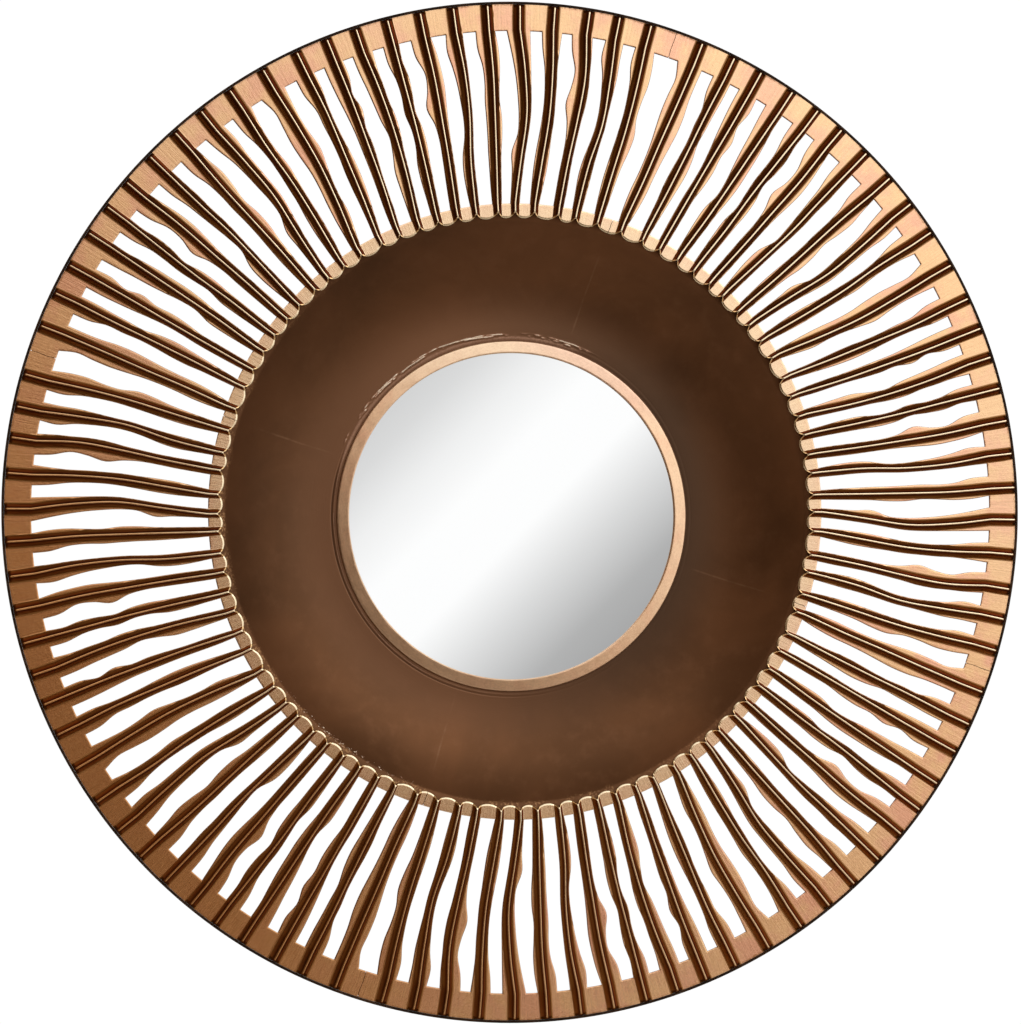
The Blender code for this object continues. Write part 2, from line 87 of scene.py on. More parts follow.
# Sunburst panels, as the model has them
FIT_GAP = 0.0003
MOUTH_RADIUS = 0.2638
SLOT_OUTER_RADIUS = 0.4336
SLOT_INNER_RADIUS = 0.2770
PLATE_THICKNESS = 0.0022
FLOOR_DEPTH_AT_MOUTH = 0.0500
FLOOR_DROP_TO_RIM = 0.0080
RIB_HEIGHT_AT_RIM = 0.0093
RIB_HEIGHT_AT_MOUTH = 0.0078
RIB_HALF_WIDTH_AT_RIM = 0.0052
RIB_HALF_WIDTH_AT_MOUTH = 0.0040
CREST_SETBACK = 0.0046
NARROWEST_SLOT = 0.0040
NARROWEST_BAR = 0.0022
PANEL_STARTS = (18.3, 107.7, 197.6, 287.7)
JOINT_SHARE = 0.6
JOINT_GAP = 0.0005
HOOP_WALL = 0.0022
BEZEL_WIDTH = 0.0126

# Fine shape of the ring round the glass: its crown over its foot, the slope of its
# face, its flat inner lip and rounded outer side, how much narrower it is than the
# model's on each side, and how far it and the glass sit to the left
BEZEL_CROWN = 0.0036
BEZEL_TILT = 0.105
BEZEL_LIP = 0.0014
BEZEL_ROUND = 0.0016
BEZEL_TRIM = 0.00075
RING_SHIFT = -0.0010
RING_DROP = GLASS_DROP + 0.0004

# Dish and its inner details
DISH_WALL = 0.0020
DISH_SETBACK = 0.0008
DISH_SEAT_WIDTH = 0.0150
SEAT_CLEARANCE = 0.0045
SEAT_INNER_RADIUS = GLASS_RADIUS + SEAT_CLEARANCE
SEAT_OUTER_RADIUS = SEAT_INNER_RADIUS + DISH_SEAT_WIDTH
SEAT_FRONT = -DISH_BOX[1].y + DISH_WALL
BOWL_STEEPNESS = 2.2

# Places along a rib, as shares of the slot's length from the rim inwards
CREST_PLACES = (0.0, 0.25, 0.5, 0.75, 1.0)
EDGE_PLACES = tuple(step / 10.0 for step in range(11))

# One row for each rib of a panel, clockwise from the panel's start:
# the crest's angle from that start in degrees, at CREST_PLACES,
# then how far the metal reaches before the crest, and beyond it,
# in millimetres at EDGE_PLACES
RIBS = (
    ((3.4, 3.2, 2.9, 2.6, 2.0),
     (14.5, 10, 10.4, 10.2, 8.7, 7, 6.3, 6.4, 6.8, 6, 4.4),
     (9.2, 9, 9.4, 11, 11.3, 10.2, 8.8, 8, 7.8, 6.7, 4.6)),
    ((7.4, 7.2, 7.1, 6.9, 6.5),
     (9.8, 8.6, 4.8, 4.6, 3.8, 4.2, 5.1, 5.3, 4.2, 3.6, 3),
     (7.6, 7.8, 7.2, 6.7, 5.9, 8, 8.7, 7.6, 6.4, 5.4, 4.4)),
    ((10.9, 10.8, 10.6, 10.4, 10.2),
     (9.7, 9.4, 8.4, 6.9, 5, 3.7, 3.6, 4.2, 4.2, 4, 3.6),
     (8.6, 9.3, 6.3, 9.3, 7.2, 8.2, 7.3, 5.3, 5.1, 4.9, 4.6)),
    ((15.1, 15.0, 14.9, 14.7, 14.2),
     (13.3, 11.8, 10, 8.6, 6.8, 4.6, 3.9, 6.8, 6.6, 5.3, 4),
     (4.7, 4.7, 6.2, 7.4, 7.8, 8.1, 7.2, 5.6, 5.2, 5, 4.8)),
    ((18.7, 18.5, 18.3, 18.3, 18.0),
     (11, 9.5, 6.2, 5.5, 5.5, 4.3, 3.5, 6, 5.8, 4.8, 3.8),
     (4.2, 4.3, 6.2, 5.9, 4.1, 6.8, 7.1, 5.8, 5.4, 5.2, 5.2)),
    ((22.2, 22.4, 22.3, 22.2, 21.9),
     (13.1, 11.8, 8, 8.2, 11.4, 6.8, 5.1, 5.3, 5.1, 4.6, 4.1),
     (5.6, 6.8, 8.1, 8.6, 7.6, 6.2, 5.4, 5.2, 5.2, 5.4, 5.2)),
    ((26.1, 26.1, 26.2, 25.9, 25.4),
     (11.6, 10.5, 7.7, 6.4, 5.4, 4.2, 3.5, 7.8, 8, 6.2, 3.9),
     (5, 5.2, 5.8, 5.2, 5.1, 4.6, 4.1, 4, 4.2, 4.6, 5)),
    ((30.0, 29.8, 29.8, 29.8, 29.6),
     (13, 11.4, 7.2, 5.6, 5.6, 5, 5, 5.6, 5.8, 5, 4),
     (5.2, 7.2, 9.8, 9.1, 7.2, 8.8, 8.8, 6.7, 5.8, 5.4, 5.2)),
    ((33.8, 34.2, 34.4, 33.7, 33.0),
     (12, 10.2, 7.5, 6.3, 5.8, 4.6, 4.1, 7.4, 5.8, 4.5, 3.5),
     (8.6, 8.9, 7, 6.6, 6.3, 6.6, 6.2, 5.5, 4.8, 4.5, 4.5)),
    ((37.8, 37.6, 37.7, 37.4, 36.8),
     (11.8, 9.7, 5.6, 3.8, 4.1, 4.9, 5.1, 6.1, 6.1, 4.9, 3.6),
     (8.4, 6.5, 6, 6.4, 7.1, 5.9, 5.4, 5.6, 5.6, 5.1, 4.2)),
    ((42.2, 42.4, 42.4, 41.8, 40.7),
     (14, 10, 11, 12, 11.4, 9.7, 8.9, 8.7, 7.7, 5.7, 3.7),
     (10, 8.1, 6.8, 7.3, 8.7, 6.6, 5, 5, 6.6, 5.8, 4.6)),
    ((46.5, 46.6, 46.3, 45.9, 45.2),
     (10.9, 10.5, 7, 6.6, 5.3, 4.8, 5.3, 5, 4, 3.1, 2.7),
     (7, 6.7, 4.7, 4.2, 5, 6.4, 7.2, 6.9, 6, 5, 4)),
    ((50.2, 50.2, 50.0, 49.7, 49.0),
     (11.2, 10.8, 9.8, 8.2, 6.8, 6.2, 5.8, 5.5, 5.2, 4.5, 3.2),
     (7.1, 7, 3.9, 7, 4.5, 5.2, 4.5, 3.5, 3.5, 4, 3.8)),
    ((53.7, 54.1, 54.2, 53.9, 53.1),
     (10.1, 10.4, 9.6, 8.8, 7.6, 5, 6.4, 8.8, 7.9, 6.1, 4.4),
     (8.8, 6.6, 5.9, 5.4, 6.4, 5.9, 4.4, 4, 4, 4.2, 4.4)),
    ((57.4, 57.4, 57.4, 57.2, 56.8),
     (9.2, 8.7, 5.4, 4.7, 5.9, 3.7, 3.7, 5.9, 5.9, 4.7, 3.7),
     (5.6, 4.6, 6.4, 5.6, 4.1, 6.3, 6.8, 5.8, 5.3, 5, 5)),
    ((61.2, 61.4, 61.3, 61.1, 60.7),
     (12.3, 11.5, 6.8, 7.8, 11.2, 6.3, 4.6, 4.6, 4.8, 4.8, 4.6),
     (6.2, 7.9, 8.4, 8.4, 7.2, 6.2, 5.6, 5.4, 5.4, 5.2, 4.8)),
    ((65.0, 65.4, 65.3, 64.6, 64.3),
     (9, 11, 9, 7.2, 6, 4.8, 4.5, 6.2, 6.5, 5.5, 3.8),
     (6.5, 5.2, 4.5, 4, 3.8, 3.8, 3.8, 4, 4.3, 4.5, 4.5)),
    ((68.9, 69.1, 69.0, 68.8, 68.5),
     (11.3, 11.2, 8.2, 7.4, 7.8, 7.1, 6.6, 6.4, 5.8, 5.1, 4.1),
     (6.4, 7.7, 7.5, 6.2, 5.6, 7, 6.8, 5.6, 5.1, 4.9, 4.6)),
    ((72.6, 73.3, 73.6, 72.8, 71.8),
     (11, 9.7, 8.5, 7.5, 7, 6.2, 5.7, 8.6, 6.2, 4.7, 3.7),
     (10.4, 8.6, 7, 6, 5.3, 4.8, 4.3, 4.1, 4.1, 4.3, 4.8)),
    ((76.6, 76.9, 76.9, 76.3, 75.5),
     (9.3, 8.6, 6.6, 5.6, 5.3, 5.6, 6, 6.3, 6, 5, 3.8),
     (9.1, 6.9, 5.4, 5.4, 5.2, 5.4, 5.4, 6, 6.2, 5.4, 4.4)),
    ((80.6, 81.2, 81.0, 80.5, 80.1),
     (12.2, 11.8, 8.9, 10.4, 12.6, 8.5, 6, 5.2, 5.2, 5, 4.8),
     (6.8, 6.2, 5.2, 5.5, 5.5, 4.5, 4.2, 4.2, 4.5, 4.8, 4.5)),
    ((84.1, 84.5, 84.7, 83.9, 83.5),
     (7.8, 9.6, 6.8, 5.4, 4.8, 4.8, 5.1, 5.8, 5.9, 4.8, 3.8),
     (8.8, 7.4, 6.9, 5.6, 4.2, 4, 4.2, 5.1, 5.6, 5.4, 4.9)),
    ((87.8, 88.1, 88.2, 88.0, 87.8),
     (8, 9, 6.5, 5.4, 5, 5.4, 5.7, 6, 6, 5.2, 4),
     (10, 11, 10.6, 8.3, 7.5, 9.9, 9, 7, 6, 5.3, 4.8)),
)

# Fine shape of a rib: half the width of its crest, bright partly from rubbing and
# partly from a painted highlight, the soft bend at its foot, the roll of a slot's
# edge, and how hollow the flanks are
CREST_HALF = 0.00048
CREST_SHOULDER = 0.00094
FOOT_BEND = 0.0007
EDGE_ROLL = 0.0009
FLANK_HOLLOW = 1.45
ARCH_ROUNDNESS = 2.4
SLOT_ROWS = 42


def smooth_value(places, values, wanted):
    """Read a smooth curve through the values at a place along the rib."""
    last = len(places) - 1
    index = 0
    while index < last - 1 and wanted > places[index + 1]:
        index += 1

    def slope(at):
        before = max(at - 1, 0)
        after = min(at + 1, last)
        return (values[after] - values[before]) / (places[after] - places[before])

    span = places[index + 1] - places[index]
    share = (wanted - places[index]) / span
    square = share * share
    cube = square * share
    start = (2 * cube - 3 * square + 1) * values[index]
    leave = (cube - 2 * square + share) * span * slope(index)
    end = (3 * square - 2 * cube) * values[index + 1]
    arrive = (cube - square) * span * slope(index + 1)
    return start + leave + end + arrive


def between(start, end, share):
    """A value part of the way from start to end."""
    return start + (end - start) * share


def ease(start, end, value):
    """From 0 at start to 1 at end, with soft ends."""
    share = min(max((value - start) / (end - start), 0.0), 1.0)
    return share * share * (3.0 - 2.0 * share)


def spot(radius, degrees, depth, offset=0.0):
    """The point at a radius, clock angle and depth, moved sideways by an offset."""
    angle = math.radians(degrees) + offset / radius
    return Vector((radius * math.sin(angle), -depth, radius * math.cos(angle)))


def floor_depth(radius):
    """Height of the panel's flat floor over the wall, falling outwards."""
    share = (radius - MOUTH_RADIUS) / (OUTER_RADIUS - MOUTH_RADIUS)
    return FLOOR_DEPTH_AT_MOUTH - FLOOR_DROP_TO_RIM * share


def slot_radius(share):
    """Radius at a share of the slot's length, from the rim inwards."""
    return between(SLOT_OUTER_RADIUS, SLOT_INNER_RADIUS, share)


def crest_angle(panel, rib, share):
    """Clock angle of a rib's crest."""
    return PANEL_STARTS[panel] + smooth_value(CREST_PLACES, RIBS[rib][0], share)


def neighbour_angle(panel, rib, side, share):
    """Clock angle of the next crest on one side, over the joint too."""
    other = rib + side
    if 0 <= other < len(RIBS):
        return crest_angle(panel, other, share)
    turns = 0.0
    next_panel = panel + side
    if next_panel < 0:
        turns = -360.0
    if next_panel >= len(PANEL_STARTS):
        turns = 360.0
    next_panel %= len(PANEL_STARTS)
    other = len(RIBS) - 1 if side < 0 else 0
    return crest_angle(next_panel, other, share) + turns


def metal_reach(panel, rib, side, share):
    """How far the metal reaches from the crest on one side, in metres."""
    column = 1 if side < 0 else 2
    far_rib = (rib + side) % len(RIBS)
    far_column = 2 if side < 0 else 1
    own = smooth_value(EDGE_PLACES, RIBS[rib][column], share) * MM
    far = smooth_value(EDGE_PLACES, RIBS[far_rib][far_column], share) * MM
    apart = abs(neighbour_angle(panel, rib, side, share) - crest_angle(panel, rib, share))
    room = math.radians(apart) * slot_radius(share) - NARROWEST_SLOT
    if own + far > room:
        own *= room / (own + far)
    return max(own, NARROWEST_BAR)


def joint_angle(panel, share):
    """Clock angle of the joint before a panel, between the metal on its two sides."""
    radius = slot_radius(share)
    last = len(RIBS) - 1
    before = (panel - 1) % len(PANEL_STARTS)
    near = neighbour_angle(panel, 0, -1, share)
    near += math.degrees(metal_reach(before, last, 1, share) / radius)
    far = crest_angle(panel, 0, share)
    far -= math.degrees(metal_reach(panel, 0, -1, share) / radius)
    return between(near, far, JOINT_SHARE)


def joint_wander(radius):
    """Sideways wander of a joint's cut line, in metres."""
    broad = 0.0010 * noise.noise(Vector((radius * 160.0, 3.1, 0.0)))
    return broad + 0.0006 * noise.noise(Vector((radius * 700.0, 8.4, 0.0)))


def half_bay(panel, rib, side, share, radius):
    """Distance from the crest to the middle of the band beside it, or to the joint."""
    crest = crest_angle(panel, rib, share)
    other = rib + side
    if 0 <= other < len(RIBS):
        middle = (crest + crest_angle(panel, other, share)) / 2.0
        return abs(math.radians(middle - crest)) * radius
    if side < 0:
        joint = joint_angle(panel, share)
        return math.radians(crest - joint) * radius - JOINT_GAP / 2.0 - joint_wander(radius)
    following = (panel + 1) % len(PANEL_STARTS)
    joint = joint_angle(following, share)
    if joint < crest:
        joint += 360.0
    return math.radians(joint - crest) * radius - JOINT_GAP / 2.0 + joint_wander(radius)


class Row:
    """One station across a rib: its place, and how the rib looks there.

    banded rows cross the solid bands at the rim and the mouth, where the metal
    runs from rib to rib. lift is the crest's height as a share of the full
    one, roll how far the slot's end turns down, mouth the place in the band at
    the mouth, round_off the drop of the edge there, then how much painted
    highlight lies on that edge, and dull how dark the crest is.
    """

    def __init__(self, share, radius, banded, lift=1.0, roll=0.0, mouth=0.0, round_off=0.0,
                 mouth_highlight=0.0, dull=0.0):
        self.share = share
        self.radius = radius
        self.banded = banded
        self.lift = lift
        self.roll = roll
        self.mouth = mouth
        self.round_off = round_off
        self.mouth_highlight = mouth_highlight
        self.dull = dull


def rib_rows():
    """The stations of a rib, from the rim to the mouth of the dish."""
    rim = OUTER_RADIUS - HOOP_WALL - FIT_GAP
    rows = []
    for inset, lift, dull in ((0.0, 0.16, 1.0), (0.0009, 0.50, 1.0), (0.0016, 0.86, 1.0),
                              (0.0024, 0.99, 0.6), (0.0034, 1.0, 0.0), (0.0090, 1.0, 0.0),
                              (0.0160, 1.0, 0.0)):
        rows.append(Row(0.0, rim - inset, True, lift=lift, dull=dull))
    rows.append(Row(0.0, SLOT_OUTER_RADIUS + 1.8 * EDGE_ROLL, True))
    rows.append(Row(0.0, SLOT_OUTER_RADIUS + EDGE_ROLL, True))
    rows.append(Row(0.0, SLOT_OUTER_RADIUS + 0.4 * EDGE_ROLL, True, roll=0.3))
    for step in range(SLOT_ROWS + 1):
        share = step / SLOT_ROWS
        ends = step in (0, SLOT_ROWS)
        rows.append(Row(share, slot_radius(share), ends, roll=1.0 if ends else 0.0))
    reach = SLOT_INNER_RADIUS - MOUTH_RADIUS
    # Each mouth row: share, roll, round_off, and how much painted highlight lies on the mouth's
    # rolled edge.
    for share, roll, round_off, mouth_highlight in (
            (0.03, 0.3, 0.0, 0.0), (0.08, 0.0, 0.0, 0.0), (0.14, 0.0, 0.0, 0.0),
            (0.34, 0.0, 0.0, 0.0), (0.52, 0.0, 0.0, 0.0), (0.72, 0.0, 0.0, 0.0),
            (0.845, 0.0, 0.0, 0.0), (0.875, 0.0, 0.0, 0.3), (0.893, 0.0, 0.00005, 1.0),
            (0.935, 0.0, 0.00024, 1.0), (0.980, 0.0, 0.00045, 1.0), (1.0, 0.0, 0.00075, 0.9)):
        rows.append(Row(1.0, SLOT_INNER_RADIUS - reach * share, True, roll=roll, mouth=share,
                        round_off=round_off, mouth_highlight=mouth_highlight))
    return rows


class Point:
    """One point of a rib's section, with its patina and painted shade, and its wear and painted
    highlight.
    """

    def __init__(self, across, rise, patina, bay=False, wear=0.0):
        self.across = across
        self.rise = rise
        self.patina = patina
        self.bay = bay
        self.wear = wear
        self.arch = 0.0


def half_section(row, reach, bay):
    """Points from the middle of a bay to the crest, as distances from the crest."""
    half = between(RIB_HALF_WIDTH_AT_RIM, RIB_HALF_WIDTH_AT_MOUTH, row.share)
    height = between(RIB_HEIGHT_AT_RIM, RIB_HEIGHT_AT_MOUTH, row.share) * row.lift
    rolled = row.roll if row.banded else 1.0
    half = between(half, reach - 0.0004, ease(0.0018, 0.0008, reach - half))
    foot = min(half + FOOT_BEND, reach - 0.0002)
    land = max(reach - EDGE_ROLL, foot)
    shade = min(foot + 0.0012, between(foot, land, 0.7))
    drop = -0.35 * EDGE_ROLL * rolled
    bay_drop = -0.16 * EDGE_ROLL * row.roll
    # Patina at the slot's end, at the slot's edge, near it on the land and at the rib's foot is
    # painted shade; on the flanks it is partly patina and partly painted shade. Wear on the crest
    # is partly rubbed wear and partly painted highlight.
    points = [
        Point(bay, bay_drop, 0.42 * row.roll, bay=True),
        Point(between(reach, bay, 0.5), bay_drop, 0.42 * row.roll, bay=True),
        Point(reach, drop, 0.70 * rolled),
        Point(max(reach - 0.4 * EDGE_ROLL, foot), 0.25 * drop, 0.36 * rolled),
        Point(land, 0.0, 0.08 * rolled),
        Point(between(land, shade, 0.3), 0.0, 0.0),
        Point(shade, 0.0, 0.10),
        Point(foot, 0.0, 0.50),
    ]
    for up, patina in ((0.05, 0.76), (0.30, 0.82), (0.58, 0.86), (0.82, 0.96)):
        across = between(half, CREST_SHOULDER, up)
        points.append(Point(across, height * up ** FLANK_HOLLOW, patina))
    points.append(Point(CREST_SHOULDER, height - 0.00050, 1.0))
    bend = between(CREST_SHOULDER, CREST_HALF, 0.5)
    points.append(Point(bend, height - 0.00018, 0.58, wear=0.3))
    points.append(Point(CREST_HALF, height - 0.00004, 0.0, wear=1.0))
    points.append(Point(0.0, height, 0.0, wear=1.0))
    for point in points:
        point.arch = (1.0 - min(point.across / bay, 1.0)) ** ARCH_ROUNDNESS
    return points


def section_points(panel, rib, row):
    """The whole section of a rib at a row, from its left side to its right side."""
    sides = []
    for side in (-1, 1):
        reach = metal_reach(panel, rib, side, row.share)
        bay = half_bay(panel, rib, side, row.share, row.radius)
        if row.banded:
            reach = min(reach * row.radius / slot_radius(row.share), bay - 0.0004)
        sides.append(half_section(row, reach, bay))
    left, right = sides
    whole = [(-point.across, point) for point in left]
    whole += [(point.across, point) for point in reversed(right[:-1])]
    return whole


def panel_vertex(mesh, layers, panel, rib, row, across, point):
    """A vertex of the panel's sheet, with its patina and painted shade, and its wear and painted
    highlight.
    """
    radius = row.radius + CREST_SETBACK * point.arch * ease(0.0, 1.0, row.mouth)
    depth = floor_depth(radius) + point.rise - row.round_off
    place = spot(radius, crest_angle(panel, rib, row.share), depth, across)
    vertex = mesh.verts.new(place)
    patina = point.patina
    if point.rise > 0.0:
        patina = between(patina, 1.0, row.dull)
    vertex[layers["patina"]] = patina * (1.0 - row.mouth_highlight)
    vertex[layers["wear"]] = max(point.wear, row.mouth_highlight)
    return vertex


def joint_tongue(mesh, layers, panel):
    """The tongue of a panel that lies behind the next panel's rim at the joint."""
    degrees = joint_angle(panel, 0.0)
    width = 0.006
    corners = []
    for radius in (SLOT_OUTER_RADIUS + 0.0015, OUTER_RADIUS - HOOP_WALL - 0.0015):
        for across in (-width, width):
            for back in (0.0003, 0.0011):
                depth = floor_depth(radius) - PLATE_THICKNESS - back
                vertex = mesh.verts.new(spot(radius, degrees, depth, across))
                vertex[layers["patina"]] = 1.0
                corners.append(vertex)
    hull = bmesh.ops.convex_hull(mesh, input=corners)
    bmesh.ops.recalc_face_normals(mesh, faces=[item for item in hull["geom"]
                                               if isinstance(item, bmesh.types.BMFace)])


def build_panel(panel):
    """One quarter of the sunburst as folded and pierced sheet metal."""
    mesh = bmesh.new()
    layers = {name: mesh.verts.layers.float.new(name) for name in ("patina", "wear")}
    rows = rib_rows()
    for rib in range(len(RIBS)):
        grid = []
        for row in rows:
            line = []
            for across, point in section_points(panel, rib, row):
                if point.bay and not row.banded:
                    line.append(None)
                    continue
                line.append(panel_vertex(mesh, layers, panel, rib, row, across, point))
            grid.append(line)
        for upper, lower in zip(grid, grid[1:]):
            for column in range(len(upper) - 1):
                corners = (upper[column], upper[column + 1], lower[column + 1], lower[column])
                if None not in corners:
                    mesh.faces.new(corners)
    bmesh.ops.remove_doubles(mesh, verts=mesh.verts, dist=0.00002)
    front = list(mesh.faces)
    made = bmesh.ops.extrude_face_region(mesh, geom=front, use_keep_orig=True)
    moved = [item for item in made["geom"] if isinstance(item, bmesh.types.BMVert)]
    for vertex in moved:
        vertex.co.y += PLATE_THICKNESS
        vertex[layers["patina"]] = 1.0
        vertex[layers["wear"]] = 0.0
    bmesh.ops.recalc_face_normals(mesh, faces=mesh.faces)
    joint_tongue(mesh, layers, panel)
    return finish_mesh("copper_panel_%d" % (panel + 1), mesh, 40.0)


def finish_mesh(name, mesh, sharp_degrees):
    """Turn a bmesh into a smooth-shaded object in the scene."""
    data = bpy.data.meshes.new(name)
    mesh.to_mesh(data)
    mesh.free()
    data.shade_smooth()
    data.set_sharp_from_angle(angle=math.radians(sharp_degrees))
    piece = bpy.data.objects.new(name, data)
    bpy.context.scene.collection.objects.link(piece)
    return piece


def turned(name, profile, sides, closed=True, shape=None, shift=0.0, drop=0.0,
           sharp_degrees=40.0, extra=None):
    """A ring turned from (radius, depth) points, outer side first, shifted sideways and dropped.

    shape may move a point: it takes the profile's index, radius, depth and
    clock angle, and gives back the radius, depth, and the wear and painted
    shade there. extra may add more to the mesh.
    """
    mesh = bmesh.new()
    wear = mesh.verts.layers.float.new("wear")
    rings = []
    for step in range(sides):
        degrees = 360.0 * step / sides
        ring = []
        for index, (radius, depth) in enumerate(profile):
            wear_and_shade = 0.0
            if shape is not None:
                radius, depth, wear_and_shade = shape(index, radius, depth, degrees)
            vertex = mesh.verts.new(spot(radius, degrees, depth) + Vector((shift, 0.0, -drop)))
            vertex[wear] = wear_and_shade
            ring.append(vertex)
        rings.append(ring)
    count = len(profile)
    last = count if closed else count - 1
    for step in range(sides):
        here = rings[step]
        there = rings[(step + 1) % sides]
        for index in range(last):
            after = (index + 1) % count
            mesh.faces.new((here[index], there[index], there[after], here[after]))
    if not closed:
        mesh.faces.new([ring[0] for ring in rings])
        mesh.faces.new([ring[-1] for ring in reversed(rings)])
    if extra is not None:
        extra(mesh, wear)
    bmesh.ops.recalc_face_normals(mesh, faces=mesh.faces)
    return finish_mesh(name, mesh, sharp_degrees)


def build_hoop():
    """The thin dark hoop round the rim, its corners softened."""
    inner = OUTER_RADIUS - HOOP_WALL
    soft = 0.0005
    profile = (
        (OUTER_RADIUS - soft, HOOP_FRONT),
        (OUTER_RADIUS, HOOP_FRONT - soft),
        (OUTER_RADIUS, HOOP_BACK + soft),
        (OUTER_RADIUS - soft, HOOP_BACK),
        (inner + soft, HOOP_BACK),
        (inner, HOOP_BACK + soft),
        (inner, HOOP_FRONT - soft),
        (inner + soft, HOOP_FRONT),
    )
    return turned("rim_band", profile, 420)


def bowl_depth(radius):
    """Height of the bowl's front over the wall."""
    mouth = MOUTH_RADIUS - DISH_SETBACK
    top = floor_depth(mouth) - PLATE_THICKNESS - FIT_GAP
    share = min(max((radius - SEAT_OUTER_RADIUS) / (mouth - SEAT_OUTER_RADIUS), 0.0), 1.0)
    return between(SEAT_FRONT, top, share ** BOWL_STEEPNESS)


# Raised lines on the dish round the bezel, measured from the bezel's centre: a
# bead and a groove right beside it, strongest at the lower left, the groove painted
# dark as a shadow, and ragged lines of torn finish further out, from the left over
# the top, sparser at the left, each with a painted shadow line just inside it
BEAD_RADIUS = BEZEL_RADIUS + 0.0020
BEAD_HEIGHT = 0.0006
BEAD_WIDTH = 0.0009
BEAD_GROOVE = 0.0019
GROOVE_WIDTH = 0.0006
GROOVE_MIDDLE = 240.0
GROOVE_SPAN = 75.0
TORN_RADIUS = BEZEL_RADIUS + 0.0052
TORN_HEIGHT = 0.0009
TORN_WIDTH = 0.00065
TORN_FROM = 278.0
TORN_TO = 390.0
TORN_FADE = 14.0
TORN_SPARSE = (312.0, 296.0)
TORN_HALO = 0.0026
# Each torn line: how far out it runs, and the seed of its raggedness
TORN_LINES = ((0.0006, 4.0), (-0.0007, 13.0))

# Crumbs of torn finish on the dish, along the mouth's lower left
CRUMBS = 150
CRUMB_FROM = 200.0
CRUMB_TO = 236.0
CRUMB_SIDES = 7
CRUMB_SPREAD = 0.0036


def torn_amount(degrees):
    """How much of the torn edge there is at a clock angle."""
    turned_on = degrees if degrees > 180.0 else degrees + 360.0
    start = ease(TORN_FROM, TORN_FROM + TORN_FADE, turned_on)
    return start * (1.0 - ease(TORN_TO - TORN_FADE, TORN_TO, turned_on))


def grooved(degrees):
    """How deep the lines right round the bezel are at a clock angle; it also sets how dark the
    painted shadow in the groove and on the bezel's inner wall is.
    """
    return ease(GROOVE_SPAN, 0.35 * GROOVE_SPAN, abs(degrees - GROOVE_MIDDLE))


def ragged(degrees, fineness, seed):
    """Noise along the ring, the same after each full turn."""
    angle = math.radians(degrees)
    return noise.noise(Vector((math.sin(angle) * fineness, math.cos(angle) * fineness, seed)))


def torn_lines(out, degrees):
    """Torn finish at a distance from the bezel's centre: how bright, and how much painted shadow
    lies beside it.
    """
    turned_on = degrees if degrees > 180.0 else degrees + 360.0
    sparse = ease(*TORN_SPARSE, turned_on)
    bright, beside = 0.0, 0.0
    for offset, seed in TORN_LINES:
        centre = TORN_RADIUS + offset
        centre += 0.0012 * ragged(degrees, 5.0, seed) + 0.0005 * ragged(degrees, 25.0, seed)
        there = 0.62 - 0.60 * sparse + 1.9 * ragged(degrees, 8.0, seed + 1.5)
        there = min(max(there + 1.1 * ragged(degrees, 45.0, seed + 3.5), 0.0), 1.0)
        bright = max(bright, there * math.exp(-((out - centre) / TORN_WIDTH) ** 2))
        beside = max(beside, there * math.exp(-((out - centre + 0.0014) / 0.0005) ** 2))
    amount = torn_amount(degrees)
    return bright * amount, beside * amount * (1.0 - bright)


def add_crumbs(mesh, wear):
    """Small torn bits of finish on the dish, just inside the mouth."""
    chance = random.Random(5)
    mouth = MOUTH_RADIUS - DISH_SETBACK
    for _ in range(CRUMBS):
        degrees = chance.triangular(CRUMB_FROM, CRUMB_TO)
        middle = mouth - 0.0002 - CRUMB_SPREAD * chance.random() ** 1.8
        length = between(0.0006, 0.0020, chance.random() ** 2)
        width = between(0.0003, 0.0008, chance.random())
        lean = chance.uniform(-0.6, 0.6)
        wear_and_shade = between(0.35, 0.75, chance.random())
        ring = []
        for side in range(CRUMB_SIDES):
            turn = 2.0 * math.pi * side / CRUMB_SIDES
            reach = chance.uniform(0.6, 1.2)
            along, out = reach * length * math.cos(turn), reach * width * math.sin(turn)
            radius = min(middle + out + lean * along, mouth)
            vertex = mesh.verts.new(spot(radius, degrees, bowl_depth(radius) - 0.0003, along))
            vertex[wear] = wear_and_shade
            ring.append(vertex)
        top = mesh.verts.new(spot(middle, degrees, bowl_depth(middle) + 0.9 * width))
        low = mesh.verts.new(spot(middle, degrees, bowl_depth(middle) - 0.0006))
        top[wear] = low[wear] = wear_and_shade
        for here, there in zip(ring, ring[1:] + ring[:1]):
            mesh.faces.new((here, there, top))
            mesh.faces.new((there, here, low))


